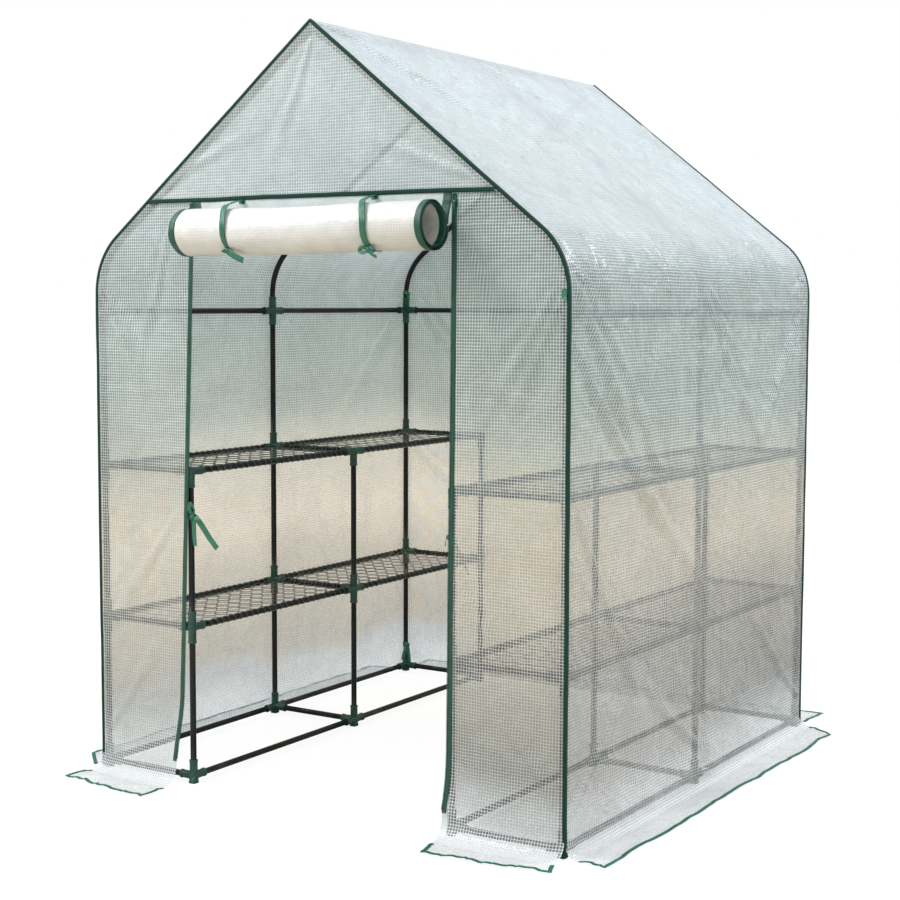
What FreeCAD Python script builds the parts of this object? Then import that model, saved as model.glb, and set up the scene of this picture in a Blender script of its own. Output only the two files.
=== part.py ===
# Walk-in garden greenhouse: steel tube frame with plastic connectors, eight wire-mesh shelves,
# sewn sheet cover with ground skirts, and a zip-up door rolled up under the front gable.
# Millimetres. +Z up, +X to the right seen from the front, -Y is the front. Origin: footprint centre on the ground.
import FreeCAD, Part
import math, os
from FreeCAD import Vector as V

os.makedirs("parts", exist_ok=True)

# ---------------------------------------------------------------- driving dimensions
WIDTH = 1405.0          # outer posts, axis to axis, across the front
DEPTH = 1440.0          # front arch to back arch, axis to axis
SHELF_DEPTH = 300.0     # outer post to inner post
TUBE_R = 8.0            # steel tube, outer radius
WALL = 0.6              # steel tube wall
Z_BASE = 20.0           # base rails
Z_LOW = 415.0           # lower shelf
Z_UP = 824.0            # upper shelf
Z_EAVE = 1235.0         # side and back rails
Z_CORNER = 1368.0       # where wall line and rafter line would cross
Z_APEX = 1922.0         # ridge tube
BEND_R = 175.0          # rounded eave
Z_HEADER = 1518.0       # top of the doorway
SOCKET_R = 11.0         # connector sockets, outer radius
SOCKET_L = 42.0         # connector sockets, length from the centre
BORE_R = 8.1
STOP = 12.0             # solid core of a connector
TUBE_END = 13.0         # tube ends this far from the connector centre
SKIN = 0.8              # sheet thickness
GAP = 12.0              # tube axis to the inside of the cover
BIND = 1.2              # binding thickness
BIND_W = 12.0
WIRE = 1.8
ROLL_C = (-805.5, 1440.0)   # rolled door: axis (y, z)
ROLL_R = 63.0
ROLL_IN = 47.0
ROLL_X = (-343.0, 405.0)
FRONT_R = 50.0          # how the front and back panels turn outward onto the ground
SIDE_R = 35.0

HX, HY = WIDTH / 2, DEPTH / 2
IX = HX - SHELF_DEPTH
SLOPE = math.atan2(Z_APEX - Z_CORNER, HX)
TURN = math.pi / 2 - SLOPE
TAN = BEND_R * math.tan(TURN / 2)
YS = (-HY, 0.0, HY)


def out(name, solids):
    shape = solids[0] if len(solids) == 1 else Part.makeCompound(solids)
    shape.exportStep("parts/%s.step" % name)


def unit(v):
    w = V(v)
    w.normalize()
    return w


def tube(a, b, end_a=TUBE_END, end_b=TUBE_END):
    a, b = V(*a), V(*b)
    d = unit(b - a)
    p = a + d * end_a
    length = (b - a).Length - end_a - end_b
    return Part.makeCylinder(TUBE_R, length, p, d).cut(
        Part.makeCylinder(TUBE_R - WALL, length, p, d))


def connector(c, dirs, pad=False):
    c = V(*c)
    s = Part.makeSphere(SOCKET_R, c)
    for d in dirs:
        s = s.fuse(Part.makeCylinder(SOCKET_R, SOCKET_L, c, unit(V(*d))))
    if pad:
        s = s.fuse(Part.makeBox(2 * SOCKET_R, 2 * SOCKET_R, Z_BASE,
                                V(c.x - SOCKET_R, c.y - SOCKET_R, 0)))
    for d in dirs:
        u = unit(V(*d))
        s = s.cut(Part.makeCylinder(BORE_R, SOCKET_L, c + u * STOP, u))
    return s.removeSplitter()


# ---------------------------------------------------------------- the arch line, offset outward by d
def arch_face(d, z0, y):
    """Closed face of the arch outline at offset d from the tube axes, from z0 up, in the plane y."""
    x = HX + d
    cx, cz, r = HX - BEND_R, Z_CORNER - TAN, BEND_R + d
    ex, ez = cx + r * math.cos(TURN), cz + r * math.sin(TURN)
    mx, mz = cx + r * math.cos(TURN / 2), cz + r * math.sin(TURN / 2)
    top = Z_APEX + d / math.cos(SLOPE)

    def p(a, b):
        return V(a, y, b)
    e = [
        Part.makeLine(p(-x, z0), p(x, z0)),
        Part.makeLine(p(x, z0), p(x, cz)),
        Part.Arc(p(x, cz), p(mx, mz), p(ex, ez)).toShape(),
        Part.makeLine(p(ex, ez), p(0, top)),
        Part.makeLine(p(0, top), p(-ex, ez)),
        Part.Arc(p(-ex, ez), p(-mx, mz), p(-x, cz)).toShape(),
        Part.makeLine(p(-x, cz), p(-x, z0)),
    ]
    return Part.Face(Part.Wire(e))


def arch_solid(d, z0, y0, y1):
    return arch_face(d, z0, y0).extrude(V(0, y1 - y0, 0))


def prism(points, axis, lo, hi):
    """Extrude a closed polygon. axis 'y': points are (x, z); 'z': (x, y); 'x': (y, z)."""
    if axis == "y":
        q = [V(a, lo, b) for a, b in points]
        d = V(0, hi - lo, 0)
    elif axis == "z":
        q = [V(a, b, lo) for a, b in points]
        d = V(0, 0, hi - lo)
    else:
        q = [V(lo, a, b) for a, b in points]
        d = V(hi - lo, 0, 0)
    return Part.Face(Part.makePolygon(q + [q[0]])).extrude(d)


# ---------------------------------------------------------------- frame
def posts(z0, z1, inner):
    xs = (-HX, HX) + ((-IX, IX) if inner else ())
    return [tube((x, y, z0), (x, y, z1)) for x in xs for y in YS]


out("post_tubes_lower", posts(Z_BASE, Z_LOW, True))
out("post_tubes_middle", posts(Z_LOW, Z_UP, True))
out("post_tubes_upper", posts(Z_UP, Z_EAVE, False))

RAFT_IN = 60.0          # straight length of the bent tube past the bend
SWAGE = 30.0            # reduced rafter end inside the bent tube
bends, rafters = [], []
for side in (-1, 1):
    for y in YS:
        cz = Z_CORNER - TAN
        cx = HX - BEND_R
        a = V(side * HX, y, Z_EAVE + TUBE_END)
        b = V(side * HX, y, cz)
        m = V(side * (cx + BEND_R * math.cos(TURN / 2)), y, cz + BEND_R * math.sin(TURN / 2))
        c = V(side * (cx + BEND_R * math.cos(TURN)), y, cz + BEND_R * math.sin(TURN))
        up = V(-side * math.cos(SLOPE), 0, math.sin(SLOPE))
        e = c + up * RAFT_IN
        path = Part.Wire([Part.makeLine(a, b), Part.Arc(b, m, c).toShape(), Part.makeLine(c, e)])
        prof = [Part.Wire(Part.makeCircle(r, a, V(0, 0, 1))) for r in (TUBE_R, TUBE_R - WALL)]
        outer = path.makePipeShell([prof[0]], True, True)
        inner = path.makePipeShell([prof[1]], True, True)
        bends.append(outer.cut(inner))
        apex = V(0, y, Z_APEX)
        s0 = e + up * 0.4
        length = (apex - s0).Length - TUBE_END
        r = Part.makeCylinder(TUBE_R, length, s0, up)
        r = r.fuse(Part.makeCylinder(TUBE_R - WALL - 0.1, SWAGE, s0 - up * SWAGE, up))
        r = r.cut(Part.makeCylinder(TUBE_R - 2 * WALL - 0.1, length + SWAGE + 2, s0 - up * (SWAGE + 1), up))
        rafters.append(r)
out("eave_bend_tubes", bends)
out("rafter_tubes", rafters)
out("ridge_tubes", [tube((0, YS[i], Z_APEX), (0, YS[i + 1], Z_APEX)) for i in (0, 1)])
out("side_eave_rails", [tube((s * HX, YS[i], Z_EAVE), (s * HX, YS[i + 1], Z_EAVE))
                        for s in (-1, 1) for i in (0, 1)])
out("back_eave_rail", [tube((-HX, HY, Z_EAVE), (HX, HY, Z_EAVE))])


def rails(x, z):
    return [tube((s * x, YS[i], z), (s * x, YS[i + 1], z)) for s in (-1, 1) for i in (0, 1)]


def crosses(z):
    return [tube((s * IX, y, z), (s * HX, y, z)) for s in (-1, 1) for y in YS]


out("base_rails_outer", rails(HX, Z_BASE))
out("base_rails_inner", rails(IX, Z_BASE))
out("base_cross_tubes", crosses(Z_BASE))
out("lower_shelf_cross_tubes", crosses(Z_LOW))
out("upper_shelf_cross_tubes", crosses(Z_UP))
out("lower_shelf_rails", rails(HX, Z_LOW) + rails(IX, Z_LOW))
out("upper_shelf_rails", rails(HX, Z_UP) + rails(IX, Z_UP))


def along(y):
    d = []
    if y > -HY:
        d.append((0, -1, 0))
    if y < HY:
        d.append((0, 1, 0))
    return d


def level(z, outer, inner, pad=False):
    s = []
    for side in (-1, 1):
        for y in YS:
            s.append(connector((side * HX, y, z), outer + [(-side, 0, 0)] + along(y), pad))
            s.append(connector((side * IX, y, z), inner + [(side, 0, 0)] + along(y), pad))
    return s


UP, DOWN = (0, 0, 1), (0, 0, -1)
out("foot_connectors", level(Z_BASE, [UP], [UP], True))
out("lower_shelf_connectors", level(Z_LOW, [UP, DOWN], [UP, DOWN]))
out("upper_shelf_connectors", level(Z_UP, [UP, DOWN], [DOWN]))
out("eave_connectors", [
    connector((s * HX, y, Z_EAVE), [UP, DOWN] + along(y) + ([(-s, 0, 0)] if y == HY else []))
    for s in (-1, 1) for y in YS])
fall = (math.cos(SLOPE), math.sin(SLOPE))
out("ridge_connectors", [
    connector((0, y, Z_APEX), [(fall[0], 0, -fall[1]), (-fall[0], 0, -fall[1])] + along(y))
    for y in YS])


# ---------------------------------------------------------------- wire-mesh shelves
def clip(poly, axis, value, keep_above):
    res = []
    for i in range(len(poly)):
        a, b = poly[i], poly[(i + 1) % len(poly)]
        ia = (a[axis] >= value) == keep_above or a[axis] == value
        ib = (b[axis] >= value) == keep_above or b[axis] == value
        if ia:
            res.append(a)
        if ia != ib:
            t = (value - a[axis]) / (b[axis] - a[axis])
            res.append(tuple(a[k] + t * (b[k] - a[k]) for k in (0, 1)))
    return res


def mesh_shelf(x0, x1, y0, y1, z):
    nx = 7
    ny = 12
    px, py = (x1 - x0) / nx, (y1 - y0) / ny
    a = 0.16 * py                     # half of the twisted part of each cell side
    h = py / 2 - a
    w = WIRE / 2
    outer = Part.makePolygon([V(x0, y0, z), V(x1, y0, z), V(x1, y1, z), V(x0, y1, z), V(x0, y0, z)])
    holes = []
    for i in range(-1, 2 * nx + 2):
        for j in range(-1, 2 * ny + 2):
            if (i + j) % 2:
                continue
            cx, cy = x0 + i * px / 2, y0 + j * py / 2
            k = w / math.cos(math.atan2(h - a, px / 2))
            hexa = [(cx + px / 2 - w, cy - a), (cx + px / 2 - w, cy + a), (cx, cy + h + a - k - 2),
                    (cx - px / 2 + w, cy + a), (cx - px / 2 + w, cy - a), (cx, cy - h - a + k + 2)]
            # tips: keep the straight sides one wire apart from the neighbouring cells
            tip = h - k
            hexa[2] = (cx, cy + tip)
            hexa[5] = (cx, cy - tip)
            for ax, lo, hi in ((0, x0 + WIRE, x1 - WIRE), (1, y0 + WIRE, y1 - WIRE)):
                hexa = clip(hexa, ax, lo, True) if hexa else hexa
                hexa = clip(hexa, ax, hi, False) if hexa else hexa
            if len(hexa) < 3:
                continue
            pts = []
            for p in hexa:
                if not pts or math.dist(p, pts[-1]) > 0.05:
                    pts.append(p)
            if len(pts) > 2 and math.dist(pts[0], pts[-1]) < 0.05:
                pts.pop()
            area = abs(sum(pts[n][0] * pts[(n + 1) % len(pts)][1] - pts[(n + 1) % len(pts)][0] * pts[n][1]
                           for n in range(len(pts)))) / 2
            if len(pts) < 3 or area < 12:
                continue
            q = [V(p[0], p[1], z) for p in pts]
            holes.append(Part.makePolygon(q + [q[0]]))
    return Part.Face([outer] + holes).extrude(V(0, 0, WIRE))


for lname, z in (("lower", Z_LOW), ("upper", Z_UP)):
    for sname, s in (("left", -1), ("right", 1)):
        for bname, ya, yb in (("front", -HY, 0.0), ("back", 0.0, HY)):
            xa, xb = sorted((s * (IX + TUBE_R + 0.2), s * (HX - TUBE_R - 0.2)))
            out("shelf_mesh_%s_%s_%s" % (lname, sname, bname),
                [mesh_shelf(xa, xb, ya + SOCKET_L + 3, yb - SOCKET_L - 3, z - WIRE / 2)])

# ---------------------------------------------------------------- cover: sides (wall, rounded eave, roof slope)
YF, YB = -HY - GAP, HY + GAP        # inside faces of the front and back panels
for sname, s in (("left", -1), ("right", 1)):
    x0 = HX + GAP
    cz, cx = Z_CORNER - TAN, HX - BEND_R
    y0, y1 = YF - SKIN, YB + SKIN
    wall = Part.makeBox(SKIN, y1 - y0, cz - SIDE_R, V(x0 if s > 0 else -x0 - SKIN, y0, SIDE_R))
    ri, ro = BEND_R + GAP, BEND_R + GAP + SKIN

    def at(r, t):
        return V(s * (cx + r * math.cos(t)), y0, cz + r * math.sin(t))
    eave = Part.Face(Part.Wire([
        Part.Arc(at(ri, 0), at(ri, TURN / 2), at(ri, TURN)).toShape(),
        Part.makeLine(at(ri, TURN), at(ro, TURN)),
        Part.Arc(at(ro, TURN), at(ro, TURN / 2), at(ro, 0)).toShape(),
        Part.makeLine(at(ro, 0), at(ri, 0))])).extrude(V(0, y1 - y0, 0))
    pi, po = at(ri, TURN), at(ro, TURN)
    ti, to = Z_APEX + GAP / math.cos(SLOPE), Z_APEX + (GAP + SKIN) / math.cos(SLOPE)
    roof = prism([(pi.x, pi.z), (po.x, po.z), (0, to), (0, ti)], "y", y0, y1)
    out("cover_side_%s" % sname, [wall, eave, roof])

# ---------------------------------------------------------------- cover: back and front
out("cover_back", [arch_solid(GAP, FRONT_R, YB, YB + SKIN)])


def x_left(z):           # door edge of the left front panel: it drifts outward downwards
    return -428.0 + (z - 100.0) * 56.0 / 1400.0


def x_right(z):          # door edge of the right front panel
    return 396.0 + (z - 100.0) * 13.0 / 1400.0


front = arch_solid(GAP, FRONT_R, YF - SKIN, YF)
out("cover_front_gable", [front.common(Part.makeBox(2000, 50, 1000, V(-1000, YF - 20, Z_HEADER)))])
big = 1000.0
out("cover_front_left", [front.common(prism(
    [(-big, 0), (x_left(0), 0), (x_left(Z_HEADER), Z_HEADER), (-big, Z_HEADER)], "y", YF - 20, YF + 20))])
out("cover_front_right", [front.common(prism(
    [(big, 0), (x_right(0), 0), (x_right(Z_HEADER), Z_HEADER), (big, Z_HEADER)], "y", YF - 20, YF + 20))])


# ---------------------------------------------------------------- ground skirts: a quarter turn, then a flap on the ground
def turn_y(x0, x1, yface, side, r):
    """Quarter turn of a sheet from the face yface down and outward (side -1 front, +1 back)."""
    c = yface + side * r

    def p(rr, t):
        return V(x0, c - side * rr * math.cos(t), r - rr * math.sin(t))
    q = math.pi / 2
    return Part.Face(Part.Wire([
        Part.Arc(p(r, 0), p(r, q / 2), p(r, q)).toShape(),
        Part.makeLine(p(r, q), p(r - SKIN, q)),
        Part.Arc(p(r - SKIN, q), p(r - SKIN, q / 2), p(r - SKIN, 0)).toShape(),
        Part.makeLine(p(r - SKIN, 0), p(r, 0))])).extrude(V(x1 - x0, 0, 0))


def turn_x(y0, y1, xface, side, r):
    c = xface + side * r

    def p(rr, t):
        return V(c - side * rr * math.cos(t), y0, r - rr * math.sin(t))
    q = math.pi / 2
    return Part.Face(Part.Wire([
        Part.Arc(p(r, 0), p(r, q / 2), p(r, q)).toShape(),
        Part.makeLine(p(r, q), p(r - SKIN, q)),
        Part.Arc(p(r - SKIN, q), p(r - SKIN, q / 2), p(r - SKIN, 0)).toShape(),
        Part.makeLine(p(r - SKIN, 0), p(r, 0))])).extrude(V(0, y1 - y0, 0))


XO = HX + GAP
yf_flat, yb_flat = YF - FRONT_R, YB + FRONT_R
xs_flat = XO + SIDE_R
flaps = {
    "front_left": [(-XO, yf_flat), (x_left(0) - 8, yf_flat), (-424.0, -905.0), (-727.0, -868.0)],
    "front_right": [(x_right(0) + 34, yf_flat), (XO, yf_flat), (738.0, -840.0), (420.0, -885.0)],
    "right": [(xs_flat, YF - SKIN), (xs_flat, YB + SKIN), (840.0, 668.0), (826.0, -741.0)],
    "left": [(-xs_flat, YF - SKIN), (-826.0, -668.0), (-840.0, 690.0), (-xs_flat, YB + SKIN)],
    "back": [(-XO, yb_flat), (XO, yb_flat), (728.0, 905.0), (-728.0, 905.0)],
}
turns = {
    "front_left": turn_y(-XO, x_left(0) - 8, YF, -1, FRONT_R),
    "front_right": turn_y(x_right(0) + 34, XO, YF, -1, FRONT_R),
    "right": turn_x(YF - SKIN, YB + SKIN, XO, 1, SIDE_R),
    "left": turn_x(YF - SKIN, YB + SKIN, -XO, -1, SIDE_R),
    "back": turn_y(-XO, XO, YB, 1, FRONT_R),
}
for n in flaps:
    out("skirt_%s" % n, [turns[n], prism(flaps[n], "z", 0, SKIN)])

# ---------------------------------------------------------------- bindings
for bname, ya, yb, yc in (("front", YF - SKIN - BIND, YF - SKIN, YF - SKIN + BIND_W),
                          ("back", YB + SKIN + BIND, YB + SKIN, YB + SKIN - BIND_W)):
    lo, hi = sorted((ya, yb))
    face = arch_solid(GAP + SKIN + BIND, FRONT_R, lo, hi).cut(arch_solid(GAP - BIND_W + 3, FRONT_R - 1, lo - 1, hi + 1))
    lo, hi = sorted((yb, yc))
    edge = arch_solid(GAP + SKIN + BIND, FRONT_R, lo, hi).cut(arch_solid(GAP + SKIN, FRONT_R - 1, lo - 1, hi + 1))
    out("%s_arch_binding" % bname, [face.fuse(edge).removeSplitter()])
yt0, yt1 = YF - SKIN - BIND, YF - SKIN
out("header_binding", [arch_solid(2.8, FRONT_R, yt0, yt1).common(
    Part.makeBox(2000, 20, BIND_W, V(-1000, yt0 - 5, Z_HEADER - BIND_W / 2)))])
edges = []
for n, pts in flaps.items():
    if n in ("front_left", "front_right", "back"):
        order = [pts[0], pts[3], pts[2], pts[1]]
    elif n == "right":
        order = [pts[0], pts[3], pts[2], pts[1]]
    else:
        order = [pts[0], pts[1], pts[2], pts[3]]
    cen = V(sum(p[0] for p in pts) / 4, sum(p[1] for p in pts) / 4, 0)
    poly = Part.makePolygon([V(p[0], p[1], SKIN) for p in order])
    solid = None
    full = prism(pts, "z", SKIN, SKIN + BIND)
    # the flap's own outline, less the part further than one binding width from its three free edges
    inner = []
    m = len(order)
    for i in range(m - 1):
        a, b = V(order[i][0], order[i][1], 0), V(order[i + 1][0], order[i + 1][1], 0)
        d = unit(b - a)
        nrm = V(-d.y, d.x, 0)
        if nrm.dot(cen - a) < 0:
            nrm = nrm * -1
        strip = prism([(q.x, q.y) for q in (a - d * 60, b + d * 60, b + d * 60 + nrm * BIND_W, a - d * 60 + nrm * BIND_W)],
                      "z", SKIN, SKIN + BIND).common(full)
        solid = strip if solid is None else solid.fuse(strip)
    edges.append(solid.removeSplitter())
out("skirt_bindings", edges)

# ---------------------------------------------------------------- door zips
TAPE_W = 15.0
z_lo, z_hi = 60.0, Z_HEADER - BIND_W / 2 - 0.3
out("zip_tape_left", [prism([(x_left(z_lo) - TAPE_W, z_lo), (x_left(z_lo), z_lo), (x_left(z_hi), z_hi),
                             (x_left(z_hi) - TAPE_W, z_hi)], "y", yt0, yt1)])
out("zip_tape_right", [prism([(x_right(z_lo), z_lo), (x_right(z_lo) + TAPE_W, z_lo), (x_right(z_hi) + TAPE_W, z_hi),
                              (x_right(z_hi), z_hi)], "y", yt0, yt1)])
PIN_Y, PIN_Z = yt0 - 7.3, 1492.0
for sname, xc in (("left", x_left(1490) - 8), ("right", x_right(1490) + 8)):
    body = Part.makeBox(11, 3.8, 20, V(xc - 5.5, yt0 - 4.2, 1478))
    body = body.makeChamfer(1.2, [e for e in body.Edges
                                  if abs(e.tangentAt(e.FirstParameter).y) > 0.9])
    for a in (-4.8, 3.4):
        body = body.fuse(Part.makeBox(1.4, 5.0, 6, V(xc + a, yt0 - 9.2, 1489)))
    body = body.fuse(Part.makeCylinder(0.8, 8.0, V(xc - 4, PIN_Y, PIN_Z), V(1, 0, 0)))
    out("zip_slider_%s" % sname, [body])
    eye = Part.makeCylinder(1.9, 6.0, V(xc - 3.0, PIN_Y, PIN_Z), V(1, 0, 0))
    tab = Part.makeBox(6, 1.4, 9, V(xc - 3, PIN_Y - 0.7, PIN_Z - 10.5))
    grip = Part.makeBox(8, 1.4, 20, V(xc - 4, PIN_Y - 0.7, PIN_Z - 30))
    pull = eye.fuse(tab).fuse(grip).cut(Part.makeCylinder(0.88, 12, V(xc - 6, PIN_Y, PIN_Z), V(1, 0, 0)))
    out("zip_pull_%s" % sname, [pull.removeSplitter()])

# ---------------------------------------------------------------- rolled door: one spiral sheet
yr, zr = ROLL_C
TURNS = 4
pitch = (ROLL_R - SKIN / 2 - ROLL_IN - SKIN / 2) / TURNS


def spiral(off):
    """Half-circle arcs, from the outer end (at the back of the roll) inward."""
    arcs = []
    r = ROLL_R - SKIN / 2
    cy = yr
    sgn = 1                      # the outer end is on the +Y side
    start = cy + sgn * (r + off)
    for k in range(2 * TURNS):
        end = cy - sgn * (r + off)
        top = zr - (r + off) * (1 if sgn > 0 else -1)   # goes down at the back, forward, and up at the front
        arcs.append(Part.Arc(V(0, start, zr), V(0, (start + end) / 2, top), V(0, end, zr)).toShape())
        r2 = r - pitch / 2
        cy = end + sgn * (r2 + off)
        start, r, sgn = end, r2, -sgn
    return arcs, V(0, arcs and start, zr)


ao, eo = spiral(SKIN / 2)
ai, ei = spiral(-SKIN / 2)
so = ao[0].Vertexes[0].Point
si = ai[0].Vertexes[0].Point
wire = Part.Wire(ao + [Part.makeLine(eo, ei)] + list(reversed(ai)) + [Part.makeLine(si, so)])
roll = Part.Face(wire)
roll.translate(V(ROLL_X[0], 0, 0))
roll = roll.extrude(V(ROLL_X[1] - ROLL_X[0], 0, 0))
out("door_roll", [roll])

# door sheet between the header seam and the roll
ys0, ys1 = yr + ROLL_R + 0.4, yt0 - 1.6 - SKIN
out("door_panel_top", [prism([(ys0, zr + 1), (ys0 + SKIN, zr + 1), (ys1 + SKIN, Z_HEADER + 4), (ys1, Z_HEADER + 4)],
                             "x", ROLL_X[0], ROLL_X[1])])


# ---------------------------------------------------------------- door straps: a loop round the roll from the header seam
def strap(x, width, knot):
    ri, ro = ROLL_R + 1.6, ROLL_R + 2.4
    py, pz = yt0 - 4.4, Z_HEADER + 2
    dy, dz = py - yr, pz - zr
    dist = math.hypot(dy, dz)

    def side(r):
        # tangent point on top of the roll for a line from the front start of the strap
        base = math.atan2(dz, dy)
        t = base + math.acos(r / dist)
        return t
    ti, to = side(ri), side(ro)

    def p(r, t):
        return V(x, yr + r * math.cos(t), zr + r * math.sin(t))
    a0, a1 = ti, 2 * math.pi
    b0 = to
    e = [
        Part.makeLine(V(x, py, pz), p(ri, a0)),
        Part.Arc(p(ri, a0), p(ri, (a0 + a1) / 2), p(ri, a1)).toShape(),
        Part.makeLine(p(ri, a1), V(x, yt1 + 0.8 + SKIN + 0.4, Z_HEADER - 9)),
        Part.makeLine(V(x, yt1 + 0.8 + SKIN + 0.4, Z_HEADER - 9), V(x, yt1 + 1.6 + SKIN + 0.4, Z_HEADER - 9)),
        Part.makeLine(V(x, yt1 + 1.6 + SKIN + 0.4, Z_HEADER - 9), p(ro, a1)),
        Part.Arc(p(ro, a1), p(ro, (b0 + a1) / 2), p(ro, b0)).toShape(),
        Part.makeLine(p(ro, b0), V(x, py, pz + 1.0)),
        Part.makeLine(V(x, py, pz + 1.0), V(x, py, pz)),
    ]
    band = Part.Face(Part.Wire(e)).extrude(V(width, 0, 0))
    t = knot["t"]
    c = p(ro + 3.0, t)
    k = Part.makeSphere(7.0, V(x + width / 2, c.y, c.z))
    k = k.cut(Part.makeCylinder(ro - 0.2, width + 40, V(x - 20, yr, zr), V(1, 0, 0)))
    solids = band.fuse(k)
    return solids


def tail(a, b, width, thick=1.2):
    """A flat ribbon end from a to b, its width along Y x direction."""
    a, b = V(*a), V(*b)
    d = unit(b - a)
    n = d.cross(V(0, 1, 0))
    n = unit(n) * (width / 2)
    h = V(0, -thick / 2, 0)
    q = [a - n + h, b - n + h, b + n + h, a + n + h]
    return Part.Face(Part.makePolygon(q + [q[0]])).extrude(V(0, thick, 0))


left = strap(-180.0, 20.0, {"t": math.radians(238)})
kx, ky, kz = -170.0, yr + (ROLL_R + 5) * math.cos(math.radians(238)), zr + (ROLL_R + 5) * math.sin(math.radians(238))
left = left.fuse(tail((kx, ky - 4, kz), (kx + 55, ky - 4, kz - 30), 16))
out("door_strap_left", [left])
right = strap(218.0, 20.0, {"t": math.radians(240)})
kx, ky, kz = 228.0, yr + (ROLL_R + 5) * math.cos(math.radians(240)), zr + (ROLL_R + 5) * math.sin(math.radians(240))
right = right.fuse(tail((kx, ky - 4, kz), (kx + 32, ky - 4, kz - 6), 16)).fuse(tail((kx, ky - 4, kz), (kx - 22, ky - 4, kz - 12), 14))
out("door_strap_right", [right])


# ---------------------------------------------------------------- ties round the posts
def ring(x, y, z, h=14.0, clear=0.3):
    return Part.makeCylinder(TUBE_R + clear + 0.8, h, V(x, y, z)).cut(
        Part.makeCylinder(TUBE_R + clear, h, V(x, y, z)))


def tie(x, y, z, knot, tails, clear=0.3):
    s = ring(x, y, z - 7, clear=clear)
    k = V(*knot)
    d = k - V(x, y, z)
    link = Part.makeCylinder(3.0, d.Length - (TUBE_R + clear + 0.4), V(x, y, z) + unit(d) * (TUBE_R + clear + 0.4), unit(d))
    s = s.fuse(link).fuse(Part.makeSphere(6.5, k))
    for t, w in tails:
        s = s.fuse(tail((k.x, k.y, k.z), t, w))
    return s


out("post_ties", [
    tie(-IX, -HY, 708.0, (-IX + 17.0, -HY - 2.0, 708.0),
        [((-IX + 86.0, -HY + 14.0, 640.0), 14.0), ((-IX + 20.0, -HY - 4.0, 634.0), 12.0)]),
    tie(IX, -HY, 714.0, (IX - 15.0, -HY + 8.0, 714.0),
        [((IX + 30.0, -HY + 30.0, 622.0), 12.0)]),
])
tab = Part.makeBox(14, 1.4, 22, V(HX - 6.0, yt0 - 1.8, 1270))
out("corner_ties", [
    tab,
    tie(-HX, HY, 92.0, (-HX + 14.0, HY - 10.0, 92.0),
        [((-HX + 26.0, HY - 12.0, 24.0), 12.0), ((-HX + 4.0, HY - 26.0, 40.0), 12.0)]),
    tie(-HX, HY, 1292.0, (-HX + 15.0, HY - 8.0, 1290.0),
        [((-HX + 18.0, HY - 12.0, 1232.0), 12.0)], clear=0.9),
])
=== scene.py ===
# Walk-in garden greenhouse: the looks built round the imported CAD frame. Metres, +Z up, -Y is the front.
import bpy
import math
import numpy as np
from mathutils import Matrix, Vector


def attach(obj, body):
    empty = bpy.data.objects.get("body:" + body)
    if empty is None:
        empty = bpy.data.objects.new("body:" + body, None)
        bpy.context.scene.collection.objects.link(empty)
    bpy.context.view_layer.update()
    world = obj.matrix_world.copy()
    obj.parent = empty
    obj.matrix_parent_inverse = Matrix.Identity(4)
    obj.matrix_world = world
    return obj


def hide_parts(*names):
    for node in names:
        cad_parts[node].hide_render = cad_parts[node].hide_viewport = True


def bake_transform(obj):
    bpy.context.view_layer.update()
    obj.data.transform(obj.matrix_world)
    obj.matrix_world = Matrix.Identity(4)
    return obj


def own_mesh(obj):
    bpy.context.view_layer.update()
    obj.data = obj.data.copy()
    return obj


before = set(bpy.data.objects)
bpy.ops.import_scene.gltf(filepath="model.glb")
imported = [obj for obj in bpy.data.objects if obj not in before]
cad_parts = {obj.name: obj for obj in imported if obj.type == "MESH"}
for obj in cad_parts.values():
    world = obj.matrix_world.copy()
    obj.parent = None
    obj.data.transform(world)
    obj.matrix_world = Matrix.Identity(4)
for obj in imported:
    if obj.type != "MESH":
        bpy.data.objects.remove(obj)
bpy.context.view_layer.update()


ROOT = "frame_and_cover"

# ------------------------------------------------------------------ dimensions, as in the CAD
HX, HY = 0.7025, 0.72
IX = 0.4025
Z_BASE, Z_LOW, Z_UP, Z_EAVE, Z_CORNER, Z_APEX, Z_HEADER = 0.020, 0.415, 0.824, 1.235, 1.368, 1.922, 1.518
TR = 0.008
BEND_R = 0.175
GAP = 0.012
SKIN = 0.0008
SLOPE = math.atan2(Z_APEX - Z_CORNER, HX)
TURN = math.pi / 2 - SLOPE
TAN = BEND_R * math.tan(TURN / 2)
CX, CZ = HX - BEND_R, Z_CORNER - TAN
YS = (-HY, 0.0, HY)
YF = -HY - GAP
YB = HY + GAP
SEAM = GAP + SKIN / 2          # the sheet's middle, outward from the tube axes
YFS, YBS = YF - SKIN / 2, YB + SKIN / 2
ROLL_Y, ROLL_Z, ROLL_R = -0.8055, 1.440, 0.063
ROLL_X0, ROLL_X1 = -0.343, 0.405


def x_left(z):
    return (-428.0 + (z * 1000 - 100.0) * 0.04) / 1000


def x_right(z):
    return (396.0 + (z * 1000 - 100.0) * 13.0 / 1400.0) / 1000


# ------------------------------------------------------------------ noise, vectorised and seeded
def _lattice(ix, iy, seed):
    h = (ix.astype(np.int64) * 374761393 + iy.astype(np.int64) * 668265263 + seed * 974634777) & 0xFFFFFFFF
    h = ((h ^ (h >> 13)) * 1274126177) & 0xFFFFFFFF
    h = h ^ (h >> 16)
    return (h & 0xFFFFFF) / float(0xFFFFFF) * 2 - 1


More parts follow.
